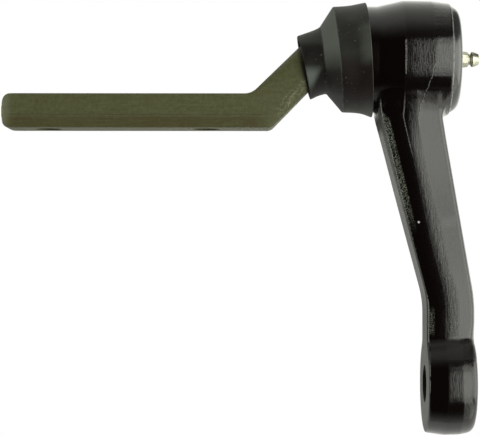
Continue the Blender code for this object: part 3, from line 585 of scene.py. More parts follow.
# Bracket: one profile carried along the bar, round the bend and into the neck and pin

bar = {
    "thickness": 15.9,
    "halfDepth": 12.7,
    "edge": 1.3,
    "endEdge": 0.8,            # extra rounding of the edges at the very end
    "endPlan": 6.0,            # radius of the end's corners seen from above, and from the side
    "endSide": 4.2,
    "endCrown": 0.6,
    "crownRings": (0.02, 0.35, 0.7),
    "crownFall": 0.4,
    "ringCorner": 0.4,         # corner of those rings, as a share of their half size
    "endSteps": 10,
    "bendX": 57.95,
    "bendAngle": math.radians(45.0),
    "bendInside": 8.0,
    "bendOutside": 4.5,
    "bendSteps": 12,
    "slantThickness": 17.7,
    "mouthHalfDepth": 11.0,    # where the slant goes into the boot
    "mouthEdge": 7.7,
    "neckRadius": 12.6,
    "shoulderRadius": 14.6,
    "shoulderX": noseX - 3.7,
    "shoulderLength": 4.0,
    "neckTaper": 4.0,
    "chamfer": 0.4,
    "pinRadius": 9.5,
    "pinChamfer": 1.0,
    "pinTip": 0.05,            # radius of the last ring, which is filled
    "grooveDepth": 0.8,
    "boltSpacing": 73.5,
    "boltRadius": 6.1,
    "boltReach": 5.0,
    "boltSteps": 64,
    "cornerSteps": 9,
    "sharpAngle": 30.0,
}


def barSection(top, bottom, halfDepth, corner):
    # a rounded rectangle between a top and a bottom point (x, z) of the side view, as a ring of points
    top = np.asarray(top, float)
    bottom = np.asarray(bottom, float)
    middle = (top + bottom) / 2
    halfHeight = np.linalg.norm(top - bottom) / 2
    up = (top - bottom) / (2 * halfHeight)
    corner = min(corner, halfHeight, halfDepth)
    steps = bar["cornerSteps"]
    quarter = np.repeat(np.arange(4), steps)
    angle = math.pi / 2 * (quarter + np.tile(np.linspace(0.0, 1.0, steps), 4))
    side = np.array([1, -1, -1, 1])[quarter]
    rise = np.array([1, 1, -1, -1])[quarter]
    y = side * (halfDepth - corner) + corner * np.cos(angle)
    lift = rise * (halfHeight - corner) + corner * np.sin(angle)
    return np.stack([middle[0] + up[0] * lift, y, middle[1] + up[1] * lift], axis=-1)


def roundSection(x, z, radius, tilt=0.0):
    # a round section: the rounded rectangle whose corners are as large as itself
    lean = np.array([-math.sin(tilt), math.cos(tilt)]) * radius
    centre = np.array([x, z])
    return barSection(centre + lean, centre - lean, radius, radius)


def bendPoint(cornerX, cornerZ, radius, share):
    # a point on the arc that rounds a corner of the bend in the side view
    angle = bar["bendAngle"] * share
    reach = radius * math.tan(bar["bendAngle"] / 2)
    return cornerX - reach + radius * math.sin(angle), cornerZ + radius * (1 - math.cos(angle))


def endSections():
    # the bar's end: small rings on its crowned face, then rings that grow along a quarter circle
    middle = bar["thickness"] / 2
    startX = bracketLow[0] + bar["endCrown"]
    size = bar["halfDepth"] - bar["endPlan"]
    sections = []
    for share in bar["crownRings"]:
        flat = (middle - bar["endSide"]) * share
        crown = startX - bar["endCrown"] * (1 - share**2 * bar["crownFall"])
        sections.append(barSection((crown, middle + flat), (crown, middle - flat), size * share,
                                   min(size, flat) * bar["ringCorner"]))
    for angle in np.linspace(0.0, math.pi / 2, bar["endSteps"]):
        inward = bar["endPlan"] * (1 - math.cos(angle))
        planLoss, sideLoss = (
            radius - math.sqrt(max(radius**2 - (radius - min(inward, radius)) ** 2, 0.0))
            for radius in (bar["endPlan"], bar["endSide"])
        )
        x = startX + inward
        top, bottom = (x, bar["thickness"] - sideLoss), (x, sideLoss)
        edge = bar["edge"] + bar["endEdge"] * math.cos(angle)
        sections.append(barSection(top, bottom, bar["halfDepth"] - planLoss, edge))
    return sections


def bendSections():
    # the bend, and the slant's last section, which lies in the leaning plane of the boot's mouth
    slope = math.tan(bar["bendAngle"])
    slantHeight = bar["slantThickness"] / math.cos(bar["bendAngle"])
    heelX = bar["bendX"] + (slantHeight - bar["thickness"]) / slope
    sections = [
        barSection(bendPoint(bar["bendX"], bar["thickness"], bar["bendInside"], share),
                   bendPoint(heelX, 0.0, bar["bendOutside"], share), bar["halfDepth"], bar["edge"])
        for share in np.linspace(0.0, 1.0, bar["bendSteps"])
    ]
    lean = np.array([-math.sin(boot["collarTilt"]), math.cos(boot["collarTilt"])])
    mouth = np.array([boot["coneX"] - boot["collarLength"], pivotZ - boot["collarDrop"]])
    ends = []
    for drop in (0.0, slantHeight):
        lineZ = bar["thickness"] + (mouth[0] - bar["bendX"]) * slope - drop
        along = (lineZ - mouth[1]) / (lean[1] - lean[0] * slope)
        ends.append(mouth + along * lean)
    sections.append(barSection(*ends, bar["mouthHalfDepth"], bar["mouthEdge"]))
    return sections


def pinSections():
    # the neck in the boot, the shoulder that the washer rests on, and the pin with its ring groove
    shoulder = bar["shoulderX"]
    start = shoulder - bar["shoulderLength"]
    chamfer = bar["chamfer"]
    pin, groove = bar["pinRadius"], bar["pinRadius"] - bar["grooveDepth"]
    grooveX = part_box("retaining_ring")[0][0] / mm - touchGap
    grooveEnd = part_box("retaining_ring")[1][0] / mm + touchGap
    sections = [roundSection(boot["coneX"], pivotZ - boot["coneDrop"], bar["neckRadius"], boot["skirtTilt"])]
    for x, radius in (
        (start - bar["neckTaper"], bar["neckRadius"]), (start, bar["shoulderRadius"]),
        (shoulder - chamfer, bar["shoulderRadius"]), (shoulder, bar["shoulderRadius"] - chamfer),
        (shoulder, pin), (grooveX, pin), (grooveX, groove), (grooveEnd, groove), (grooveEnd, pin),
        (bracketHigh[0] - bar["pinChamfer"], pin), (bracketHigh[0], pin - bar["pinChamfer"]),
        (bracketHigh[0], bar["pinTip"]),
    ):
        sections.append(roundSection(x, pivotZ, radius))
    return sections


def fillEnds(item):
    # closes the small ring left at the end of the pin
    work = bmesh.new()
    work.from_mesh(item.data)
    bmesh.ops.holes_fill(work, edges=[edge for edge in work.edges if edge.is_boundary], sides=0)
    bmesh.ops.recalc_face_normals(work, faces=work.faces)
    work.to_mesh(item.data)
    work.free()


def makeBracket():
    # all the sections in a row, joined by quads, with the bolt holes cut out
    sections = endSections() + bendSections() + pinSections()
    columns = len(sections[0])
    centre = sections[0].mean(axis=0)
    rows = [np.repeat(centre[None], columns, axis=0)] + sections
    grid = gridFaces(len(rows), columns, False)
    item = weld(makeObject("bent_bracket", np.concatenate(rows), grid), bar["sharpAngle"])
    fillEnds(item)
    holes = []
    low, high = -bar["boltReach"], bar["thickness"] + bar["boltReach"]
    for x in (-bar["boltSpacing"] / 2, bar["boltSpacing"] / 2):
        outline = np.array([(low, 0.0), (low, bar["boltRadius"]), (high, bar["boltRadius"]), (high, 0.0)])
        hole = spun("hole_cutter", outline, bar["boltSteps"])
        turned = Matrix.Translation((x * mm, 0.0, 0.0)) @ Matrix.Rotation(-math.pi / 2, 4, "Y")
        hole.data.transform(turned @ Matrix.Translation((0.0, 0.0, -pivotZ * mm)))
        holes.append(hole)
    cutAway(item, *holes)
    item.data.shade_smooth()
    item.data.set_sharp_from_angle(angle=math.radians(bar["sharpAngle"]))
    print("bracket:", len(item.data.polygons), "faces")
    return item


# Dust boot: a closed outline of (x, radius, height of its centre, lean) carried round the pivot's axis

boot = {
    "wall": 2.0,
    "lap": 3.6,
    "lipWall": 1.95,
    "skirtLength": 14.5,
    "skirtStep": 0.1,
    "skirtCrown": 0.3,
    "coneLength": 6.8,
    "collarLength": 9.0,
    "collarSlack": 0.45,       # room in the collar, over the neck and its gap
    "collarSag": 0.15,
    "collarFlare": 0.25,
    "collarDrop": 3.9,         # how far each ring's centre lies under the pivot
    "coneDrop": 0.3,
    "collarTilt": math.radians(12.0),
    "coneTilt": math.radians(6.0),
    "stepTilt": math.radians(5.4),
    "skirtTilt": math.radians(3.5),
    "waves": [(0.22, 2, 0.7), (0.14, 5, 2.1)],     # size, number round the collar, and start
    "waveLift": 0.1,
    "waveSkin": 1.2,           # how deep the waves reach into the wall
    "waveEnds": (1.0, -2.0),   # where they start and where they are full, from the end of the cone
    "cornerSteps": 7,
    "steps": 160,
    "sharpAngle": 50.0,
}
boot["skirtEnd"] = noseX + boot["lap"]
boot["stepX"] = boot["skirtEnd"] - boot["skirtLength"]
boot["coneX"] = boot["stepX"] - boot["coneLength"]


def makeBoot():
    # each point stands its own radius from its ring's centre, and the ring leans by its own angle:
    # x - sin(lean) up, radius sin(angle), height + cos(lean) up, where up = radius cos(angle)
    wall = boot["wall"]
    nose = arm["housingRadius"] - arm["noseStep"]
    collar = bar["neckRadius"] + touchGap + wall + boot["collarSlack"]
    step = nose + boot["skirtStep"]
    seat = nose + touchGap
    lip = seat + boot["lipWall"]
    mouthX = boot["coneX"] - boot["collarLength"]
    mouthZ = pivotZ - boot["collarDrop"]
    coneX = boot["coneX"]
    coneZ = pivotZ - boot["coneDrop"]
    collarTilt, coneTilt, skirtTilt = boot["collarTilt"], boot["coneTilt"], boot["skirtTilt"]
    seatX = noseX - touchGap - seat * math.sin(skirtTilt)
    middleX = (boot["stepX"] + boot["skirtEnd"]) / 2
    midCollar = ((mouthX + coneX) / 2, (mouthZ + coneZ) / 2, (collarTilt + coneTilt) / 2)
    # each row: x, radius, centre's height, lean, radius of the corner
    rows = np.array([
        (mouthX, collar - wall, mouthZ, collarTilt, 0.4),
        (mouthX, collar, mouthZ, collarTilt, 0.5),
        (midCollar[0], collar - boot["collarSag"], *midCollar[1:], 3.0),
        (coneX, collar + boot["collarFlare"], coneZ - 0.3, coneTilt, 0.9),
        (boot["stepX"], step, pivotZ - 0.2, boot["stepTilt"], 0.6),
        (middleX, step + boot["skirtCrown"], pivotZ - 0.1, (boot["stepTilt"] + skirtTilt) / 2, 5.0),
        ((middleX + boot["skirtEnd"]) / 2, (step + lip) / 2, pivotZ, skirtTilt, 3.0),
        (boot["skirtEnd"], lip, pivotZ - 0.4, skirtTilt, 0.5),
        (boot["skirtEnd"], seat, pivotZ, skirtTilt, 0.3),
        (seatX, seat, pivotZ, skirtTilt, 0.3),
        (seatX, step - wall, pivotZ, skirtTilt, 0.3),
        (boot["stepX"] + wall, step - wall, pivotZ, skirtTilt, 0.5),
        (coneX + wall, collar - wall / 2, coneZ, coneTilt, 0.5),
        (coneX, collar - wall, coneZ, coneTilt, 0.5),
    ])
    outline = rounded(rows[:, :4], rows[:, 4], boot["cornerSteps"])
    angle = 2 * math.pi * np.arange(boot["steps"]) / boot["steps"]
    x, radius, height, lean = (outline[:, i:i + 1] for i in range(4))
    # soft waves of a moulded sleeve that is squeezed on: strongest on the collar, none on the skirt's seat
    outer = easeStep(radius, collar - boot["waveSkin"], collar)
    onCollar = easeStep(x, *(coneX + end for end in boot["waveEnds"])) * outer
    wave = sum(size * np.sin(count * angle + start) for size, count, start in boot["waves"])
    size = radius - np.maximum(wave + boot["waveLift"], 0.0) * onCollar
    up = size * np.cos(angle)
    points = np.stack([x - np.sin(lean) * up, size * np.sin(angle), height + np.cos(lean) * up], axis=-1)
    item = makeObject("rubber_boot", points.reshape(-1, 3), gridFaces(len(outline), boot["steps"], True))
    weld(item, boot["sharpAngle"])
    print("boot:", len(item.data.polygons), "faces")
    return item


# Cover and nipple: closed outlines of (x, radius) spun round the pivot's axis

cover = {
    "wall": 1.3,
    "dome": 0.5,
    "turnLength": 7.3,         # half axes of the ellipse that turns from face to flank
    "turnHeight": 5.1,
    "turnEnd": math.radians(65.0),
    "seat": 4.6,
    "hole": 3.0,
    "radius": 25.0,
    "flange": 25.3,
    "steps": 160,
    "facePoints": 14,          # along the outline
    "turnPoints": 16,
    "dark": (0.012, 0.012, 0.012),
    "light": (0.022, 0.022, 0.021),
}


def makeCover():
    # a face that falls by the square of the way out, most of a quarter ellipse, and a flange
    edgeR = cover["radius"] - cover["turnHeight"] * math.sin(cover["turnEnd"])
    flat = np.linspace(cover["seat"], edgeR, cover["facePoints"])
    share = (flat - flat[0]) / (flat[-1] - flat[0])
    faceX = coverHigh[0] - cover["dome"] * share**2
    turn = np.linspace(0.0, cover["turnEnd"], cover["turnPoints"])[1:]
    edgeX = faceX[-1] - cover["turnLength"]
    low = coverLow[0]
    wall = cover["wall"]

    def elliptic(angles, loss):
        across = edgeX + (cover["turnLength"] - loss) * np.cos(angles)
        return list(zip(across, edgeR + (cover["turnHeight"] - loss) * np.sin(angles)))

    outline = [(coverHigh[0], cover["hole"])]
    outline += list(zip(faceX, flat))
    outline += elliptic(turn, 0.0)
    outline += [(low + wall, cover["radius"]), (low + wall, cover["flange"]),
                (low, cover["flange"]), (low, cover["radius"] - wall)]
    outline += elliptic(turn[::-1], wall)
    outline += list(zip(faceX[::-1] - wall, flat[::-1]))
    outline += [(coverHigh[0] - wall, cover["hole"])]
    return spun("pressed_cover", np.array(outline), cover["steps"])


nipple = {
    "threadRadius": 2.7,
    "flats": 7.0,
    "hexHeight": 4.2,
    "hexTaper": 0.12,          # share of their width that the flats lose towards the waist
    "waistRadius": 2.5,
    "waistLength": 1.3,
    "headRadius": 3.65,
    "headLength": 3.6,
    "tipRadius": 2.4,
    "boreRadius": 1.55,
    "boreStart": 0.6,
    "seatRadius": 0.7,
    "mouthRadius": 0.85,
    "steps": 120,
    "sharpAngle": 28.0,
    "bright": (0.56, 0.55, 0.45),
    "tarnished": (0.38, 0.37, 0.28),
}


def makeNipple():
    # radius at each station and angle: the lesser of the turned outline and, on the hexagon, the flat's
    # own distance flats / 2 / cos(angle from the flat's middle)
    start = coverHigh[0] + touchGap
    waist = start + nipple["hexHeight"]
    head = waist + nipple["waistLength"]
    end = head + nipple["headLength"]
    low, bore = nippleLow[0], nipple["boreRadius"]
    corner = nipple["flats"] / 2 / math.cos(math.pi / 6)
    # each row: x, radius, radius of the corner
    rows = np.array([
        (low, nipple["seatRadius"], 0.1), (low, nipple["threadRadius"], 0.2),
        (start, nipple["threadRadius"], 0.1), (start, corner, 0.15),
        (waist - 0.45, corner * 0.86, 0.3), (waist, corner * 0.74, 0.2),
        (waist, nipple["waistRadius"], 0.3), (head - 0.4, nipple["waistRadius"], 0.5),
        (head + 0.3, nipple["headRadius"], 0.35), (head + 1.0, nipple["headRadius"] - 0.15, 0.8),
        (end - 0.35, nipple["tipRadius"] + 0.2, 0.5), (end, nipple["tipRadius"] - 0.3, 0.3),
        (end, nipple["mouthRadius"], 0.1), (end - 0.7, nipple["mouthRadius"], 0.1),
        (end - 1.4, bore, 0.1), (low + nipple["boreStart"], bore, 0.1),
        (low + nipple["boreStart"], nipple["seatRadius"], 0.1),
    ])
    outline = rounded(rows[:, :2], rows[:, 2])
    angle = 2 * math.pi * np.arange(nipple["steps"]) / nipple["steps"]
    fold = angle % (math.pi / 3) - math.pi / 6
    flat = nipple["flats"] / 2 / np.cos(fold)
    x = outline[:, 0:1]
    radius = outline[:, 1:2]
    onHexagon = (x > start - 0.02) & (x < waist + 0.02) & (radius > nipple["waistRadius"] + 0.1)
    narrowing = 1 - nipple["hexTaper"] * (x - start) / nipple["hexHeight"]
    size = np.where(onHexagon, np.minimum(radius, flat * narrowing), radius)
    x = np.repeat(x, len(angle), axis=1)
    points = np.stack([x, size * np.sin(angle), pivotZ + size * np.cos(angle)], axis=-1)
    item = makeObject("grease_nipple", points.reshape(-1, 3), gridFaces(len(outline), len(angle), True))
    return weld(item, nipple["sharpAngle"])


# Materials. A band is a list of low, high and softness, in millimetres of height or X, or as a share across

black = {
    "deep": (0.0030, 0.0016, 0.0015),
    "warm": (0.0042, 0.0028, 0.0024),
    # partly dust, partly painted sheen: lighter mottle on the trimmed band, and a painted highlight along the
    # parting line and the second edge
    "dustAndSheen": (0.10, 0.10, 0.09),
    # painted mottled highlight: lighter specks on the pitted left edge of the beam and over the lower eye
    "pitHighlight": (0.15, 0.16, 0.13),
    # painted highlight: the light line along the housing's rolled rim
    "rim": (0.20, 0.21, 0.19),
    # a small white spot on the beam
    "whiteSpot": (0.75, 0.75, 0.70),
    "whiteSpotPlace": (134.9, -14.6, -43.6),
    "whiteSpotRadius": 0.8,
    "lineShares": (0.008, 0.003),          # distance from an edge line where it starts, and where it is full
    "partingBare": [(24.5, 38.5, 1.5), (-6.0, 9.0, 8.0)],       # heights where the parting line shows
    "secondBare": (2.0, 25.0, 6.0),
    "streakShares": (0.5, 0.57, 0.12),
    "streakTop": (41.0, 38.0),
    "streakFoot": (-123.0, -125.0),
    "smooth": [(14.0, 21.0, 4.0), (-111.0, -97.0, 1.5)],        # heights without streaks
    "pitShares": (0.0, 0.135, 0.03),       # the pitted left edge of the beam
    "pitTop": (14.0, 10.0),
    "pitFoot": (-50.0, -30.0),
    "pitX": (116.6, 118.4),
    "footPitShares": (0.04, 0.13, 0.03),   # the small pitted patch over the lower eye
    "footPits": (-93.0, -86.0, 4.0),
    "ragged": (10.0, 15.0, 2.5),           # heights where the reflections end raggedly
    "raggedRight": [(23.0, 26.0, 1.0), (37.0, 40.0, 2.0)],
    "clearRight": (15.0, 22.0, 2.0),
    "hollow": (1.0, 14.0, 5.0),            # the dull corner under the boot's lip
    "hollowShares": (0.14, 0.02),
    "eyeTop": (-106.0, -98.5, 1.5),
    "eyeTopShares": (0.03, 0.07),
    "rimShineBack": 0.25,           # the painted highlight line, before the end of the rolled rim
    "rimShineWidth": (0.55, 0.15),
    "rimShineTop": (-5.0, 5.0),
}


def blackPaint():
    # thick glossy paint over a forging: smooth by the parting line, rough where the flash was trimmed off.
    # Its bump is noise times the sum of what the zones ask for, each a band of heights times a band of shares
    material, tree, shader = newMaterial("black_paint", {
        "Specular IOR Level": 0.5, "Coat Roughness": 0.06, "Coat IOR": 1.5, "Metallic": 0.0,
    })
    place = objectPlace(tree)
    across = place.node("Attribute", {"attribute_name": "across"}, {}, 2)
    x, _, level = axesOf(place)
    rough = grain(place, 0.85, 5.0, 0.62)
    drawn = between(grain(objectPlace(tree, (1.0, 1.0, 0.16)), 0.7, 4.0, 0.6), 0.38, 0.64)
    fine = grain(place, 0.4, 2.0, 0.5)
    lumps = grain(place, 3.2, 3.0, 0.5)
    broad = grain(place, 16.0, 2.0, 0.5)
    parting, second = sectionLines["parting"], sectionLines["second"]
    trimmed = band(across, parting + 0.008, second - 0.004, 0.012)
    onRight = between(across, second, second + 0.02)

    streaked = trimmed * (0.12 + band(across, *black["streakShares"]) * 0.88)
    streaked = streaked * (1.0 - band(level, *black["smooth"][0])) * between(level, *black["streakTop"])
    streaked = streaked * (1.0 - band(level, *black["smooth"][1]) - between(level, *black["streakFoot"]))
    flash = between(absolute(across - parting), *black["lineShares"])
    flash = flash * (band(level, *black["partingBare"][0]) + band(level, *black["partingBare"][1]) + 0.05)
    lower = between(absolute(across - second), *black["lineShares"]) * band(level, *black["secondBare"])
    pitted = band(across, *black["pitShares"]) * between(x, *black["pitX"])
    pitted = pitted * between(level, *black["pitTop"]) * between(level, *black["pitFoot"])
    pitted = pitted + band(across, *black["footPitShares"]) * band(level, *black["footPits"]) * 0.7
    ragged = band(level, *black["raggedRight"][0]) + band(level, *black["raggedRight"][1])
    ragged = (ragged * onRight + band(level, *black["ragged"])) * 0.7
    brushed = streaked * 0.3 + onRight * (1.0 - band(level, *black["clearRight"])) * 0.14
    surface = rough * (streaked * 0.24 + pitted * 0.55 + ragged + 0.04) + drawn * brushed
    surface = surface + lumps * 0.3 + flash * 0.5 + lower * 0.4

    # a painted highlight line just before the rolled rim, broken by lumps
    rim = between(absolute(x - noseX - arm["rimX"] + black["rimShineBack"]), *black["rimShineWidth"])
    rim = rim * between(level, *black["rimShineTop"])
    colour = layered(blendColour(broad, black["deep"], black["warm"]), black, (
        # dust and painted sheen on the trimmed band, and a painted highlight along the two edge lines
        ("dustAndSheen", drawn * streaked * 0.05 + (flash + lower) * between(rough, 0.38, 0.56)),
        # painted mottled highlight in the pits along the left edge
        ("pitHighlight", pitted * between(grain(place, 0.45, 2.0, 0.5), 0.46, 0.62)),
        ("rim", rim * between(lumps, 0.3, 0.5) * 0.7),
        ("whiteSpot", spot(place, black["whiteSpotPlace"], black["whiteSpotRadius"])),
    ))

    dull = between(across, 0.03, 0.0)
    hollow = between(across, *black["hollowShares"]) * band(level, *black["hollow"])
    eyeTop = between(across, *black["eyeTopShares"]) * band(level, *black["eyeTop"])
    join(tree, shader, Base_Color=colour, Normal=relief(surface, 0.18, 1.0, relief(fine, 0.03, 0.12)),
         Roughness=0.1 + trimmed * 0.04 + rough * 0.05 + dull * 0.35 + hollow * 0.4 + eyeTop * 0.22,
         Coat_Weight=(0.2 - trimmed * 0.12) * (1.0 - hollow) * (1.0 - eyeTop))
    return material


def coverPaint():
    # the same paint on pressed steel: an even, softer gloss with a faint orange peel
    material, tree, shader = newMaterial("cover_paint", {"Specular IOR Level": 0.5, "Coat Roughness": 0.22})
    place = objectPlace(tree)
    orange = grain(place, 1.1, 3.0)
    broad = grain(place, 7.0, 2.0)
    colour = blendColour(broad, cover["dark"], cover["light"])
    join(tree, shader, Base_Color=colour, Normal=relief(orange, 0.05),
         Roughness=0.16 + broad * 0.1, Coat_Weight=0.5 + broad * 0.2)
    return material


olive = {
    "dark": (0.059, 0.061, 0.021),
    "light": (0.083, 0.087, 0.038),
    "crystal": (0.12, 0.12, 0.065),
    "stain": (0.058, 0.051, 0.018),
    "brown": (0.055, 0.043, 0.013),
    "line": (0.036, 0.027, 0.011),
    "scuff": (0.27, 0.27, 0.19),
    # painted light: the rounded end of the bar made paler, as where it turns to the left light
    "endLight": (0.17, 0.18, 0.095),
    # painted highlight: the light crescent on the bar's curved end, and the light edge lines of the boot
    "paintedShine": (0.30, 0.31, 0.24),
    "shadow": (0.014, 0.009, 0.006),
    "stainZ": (1.2, 4.2, 1.6),
    "stainX": (66.0, 58.0),
    "lineZ": (5.9, 6.1, 0.35),
    "lineX": (68.0, 62.0),
    "scuffX": (67.0, 74.0),
    "scuffDiagonal": (60.5, 64.0, 2.5),    # X less Z, which is even along the slant
    "endLightX": (-51.0, -59.5),
    "endShineX": (-56.0, -58.6),
    "shadowReach": (-2.6, -0.3),           # before the mouth of the boot
}


def olivePhosphate():
    # dull olive coat with fine crystals, brown stains along the lower side and scuffs on the slant:
    # each mark is a colour laid over the others by its band times a noise
    material, tree, shader = newMaterial("olive_phosphate", {"Specular IOR Level": 0.25, "Metallic": 0.0})
    place = objectPlace(tree)
    x, _, z = axesOf(place)
    crystal = grain(place, 0.55, 4.0, 0.65)
    mottle = grain(place, 1.7, 4.0, 0.65)
    broad = grain(place, 22.0, 3.0, 0.55)
    streaks = grain(objectPlace(tree, (0.1, 1.0, 1.0)), 0.9, 4.0, 0.65)
    low = band(z, *olive["stainZ"]) * between(x, *olive["stainX"])
    brown = low * between(streaks + broad * 0.4, 0.56, 0.80)
    line = band(z, *olive["lineZ"]) * between(streaks, 0.3, 0.6) * between(x, *olive["lineX"])
    scuffs = between(grain(place, 1.5, 4.0, 0.75), 0.50, 0.64)
    onSlant = between(x, *olive["scuffX"]) * band(x - z, *olive["scuffDiagonal"])
    # painted highlight on the curved end of the bar, broken by mottle
    endShine = between(x, *olive["endShineX"]) * between(mottle, 0.36, 0.56)
    mouth = x + (z - pivotZ + boot["collarDrop"]) * math.tan(boot["collarTilt"]) - boot["coneX"]
    shadow = between(mouth + boot["collarLength"], *olive["shadowReach"]) * between(mottle, 0.2, 0.5)
    colour = blendColour(between(mottle * 0.6 + streaks * 0.4, 0.35, 0.65), olive["dark"], olive["light"])
    colour = layered(colour, olive, (
        ("crystal", between(crystal, 0.4, 0.7) * 0.25),
        ("stain", low * 0.35),
        ("brown", brown * 0.75),
        ("line", line * 0.55),
        ("scuff", scuffs * onSlant * 0.5),
        # painted light over the bar's rounded end
        ("endLight", between(x, *olive["endLightX"]) * 0.6),
        ("paintedShine", endShine * 0.7),
        ("shadow", shadow * 0.85),
    ))
    height = crystal * 0.7 + mottle * 0.5 + streaks * 0.25
    join(tree, shader, Base_Color=colour, Roughness=0.46 + crystal * 0.16 + brown * 0.1,
         Normal=relief(height, 0.09))
    return material


rubber = {
    "dark": (0.014, 0.014, 0.011),
    "bloom": (0.026, 0.028, 0.023),
    # painted highlight on the top of the cone; the same colour also marks the rubbed spots by the lip
    "light": (0.102, 0.112, 0.094),
    "shine": (0.105, 0.118, 0.108),
    "shade": (0.003, 0.0015, 0.001),
    "skirtShade": (0.006, 0.002, 0.002),
    # painted highlight: the thin light lines along the step's edge and the lip's edge
    "edge": (0.12, 0.13, 0.11),
    "speck": (0.20, 0.21, 0.18),
    "foldSlope": 0.424,        # of the shining fold that runs up the collar, and where it starts
    "foldX": 77.9,
    "foldShine": (21.5, 24.0, 5.5),
    "foldShade": (15.0, 26.0, 3.5),
    "collarShade": (29.0, 37.0, 3.5),
    "coneHighlight": (25.0, 38.0),
    "coneShade": (17.0, 24.0, 4.0),
    "skirtShadeZ": (14.0, 26.0, 9.0),
    "lipRub": (-7.0, -1.5),
    "lipRubTop": (32.0, 44.0, 6.0),
    "lipRubFoot": (14.0, 6.0),
    "edgeShineWidth": (0.40, 0.14),
    "edgeShineTop": (44.0, 34.0),
    "skirtFrom": (-0.4, 0.2),  # across the rings where the skirt and the cone start
    "coneFrom": (-0.3, 0.4),
}


def bootRubber():
    # satin moulded rubber with a grey bloom, dust specks and a few rubbed spots. The distance from each
    # leaning ring is X + (Z - pivot) tan(lean) - the ring's X
    material, tree, shader = newMaterial("boot_rubber", {"Specular IOR Level": 0.24})
    place = objectPlace(tree)
    x, _, up = axesOf(place)
    bloom = grain(place, 6.0, 4.0, 0.6)
    broad = grain(place, 19.0, 3.0, 0.5)
    skin = grain(place, 0.7, 3.0, 0.6)
    specks = between(grain(place, 0.75, 1.0, 0.4), 0.745, 0.79)
    fromStep, fromCone, fromLip = (
        x + (up - pivotZ) * math.tan(boot[tilt]) - boot[ring]
        for tilt, ring in (("stepTilt", "stepX"), ("coneTilt", "coneX"), ("skirtTilt", "skirtEnd"))
    )
    onSkirt = between(fromStep, *rubber["skirtFrom"])
    pastCollar = between(fromCone, *rubber["coneFrom"])
    onCone = pastCollar * (1.0 - onSkirt)
    onCollar = 1.0 - pastCollar
    fold = x - up * rubber["foldSlope"] - rubber["foldX"]
    rubbed = band(up, *rubber["lipRubTop"]) + between(up, *rubber["lipRubFoot"])
    rubbed = onSkirt * between(fromLip, *rubber["lipRub"]) * rubbed
    # painted highlight lines along the edge of the step and the edge of the lip
    paintedShine = between(absolute(fromStep), *rubber["edgeShineWidth"]) * between(up, *rubber["edgeShineTop"])
    paintedShine = paintedShine + between(absolute(fromLip), *rubber["edgeShineWidth"])
    colour = blendColour(between(bloom * 0.5 + broad * 0.6, 0.4, 0.72), rubber["dark"], rubber["bloom"])
    colour = layered(colour, rubber, (
        # painted highlight on the top of the cone
        ("light", onCone * between(up, *rubber["coneHighlight"]) * 0.85),
        ("shade", onCone * band(up, *rubber["coneShade"]) * 0.9),
        ("shade", onCollar * band(up, *rubber["collarShade"]) * 0.85),
        ("shine", onCollar * between(fold, 1.6, -1.6) * band(up, *rubber["foldShine"]) * 0.95),
        ("shade", onCollar * between(fold, 0.4, 2.0) * band(up, *rubber["foldShade"])),
        ("skirtShade", onSkirt * band(up, *rubber["skirtShadeZ"]) * 0.9),
        ("light", rubbed * (0.15 + bloom * 0.4)),
        ("edge", paintedShine * between(bloom, 0.36, 0.56) * 0.3),
        ("speck", specks * 0.7),
    ))
    join(tree, shader, Base_Color=colour, Roughness=0.42 + bloom * 0.2,
         Normal=relief(skin + bloom * 1.5, 0.05))
    return material


def paleBrass():
    # plated brass with turning marks round the axis and a soft tarnish
    material, tree, shader = newMaterial("pale_brass", {"Metallic": 1.0})
    place = objectPlace(tree)
    turning = grain(objectPlace(tree, (1.0, 0.06, 0.06)), 0.25, 3.0)
    tarnish = grain(place, 1.3, 3.0)
    colour = blendColour(between(tarnish, 0.35, 0.7), nipple["bright"], nipple["tarnished"])
    join(tree, shader, Base_Color=colour, Roughness=0.30 + tarnish * 0.14, Normal=relief(turning, 0.006))
    return material


def hiddenMetal(name, dark, light, roughness, lay):
    # a turned or rolled metal: its lay is how much the noise is drawn out round the axis
    material, tree, shader = newMaterial(name, {"Metallic": 1.0})
    marks = grain(objectPlace(tree, lay), 0.3, 4.0)
    stain = grain(objectPlace(tree), 4.0, 3.0)
    colour = blendColour(between(stain, 0.3, 0.7), dark, light)
    join(tree, shader, Base_Color=colour, Roughness=roughness + marks * 0.15, Normal=relief(marks, 0.01))
    return material


# Pieces on their bodies

turnedLay = (1.0, 0.1, 0.1)
bootCoat = bootRubber()
springSteel = hiddenMetal("spring_steel", (0.28, 0.29, 0.30), (0.42, 0.43, 0.45), 0.3, turnedLay)
bronze = hiddenMetal("bearing_bronze", (0.45, 0.28, 0.12), (0.62, 0.42, 0.2), 0.3, turnedLay)
brightSteel = hiddenMetal("bright_steel", (0.5, 0.5, 0.51), (0.62, 0.62, 0.63), 0.18, (1.0, 1.0, 1.0))

for piece, body, node, slot, material in (
    (makeArm(), "arm", "idler_arm", "black_paint", blackPaint()),
    (makeBracket(), "bracket", "frame_bracket", "olive_phosphate", olivePhosphate()),
    (makeBoot(), "bracket", "dust_boot", "boot_rubber", bootCoat),
    (makeCover(), "arm", "end_cover", "black_paint", coverPaint()),
    (makeNipple(), "arm", "nipple_body", "pale_brass", paleBrass()),
):
    dress(piece, material)
    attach(piece, body)
    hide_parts(node)

for node, material in (
    ("boot_side_washer", springSteel), ("cover_side_washer", springSteel), ("preload_spring", springSteel),
    ("retaining_ring", springSteel), ("boot_side_bushing", bronze), ("cover_side_bushing", bronze),
    ("cover_seal", bootCoat), ("nipple_ball", brightSteel), ("nipple_spring", brightSteel),
):
    dress(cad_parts[node], material)
print("pieces and materials done")


# Studio: a white tent with its opening towards the camera, and three soft panels

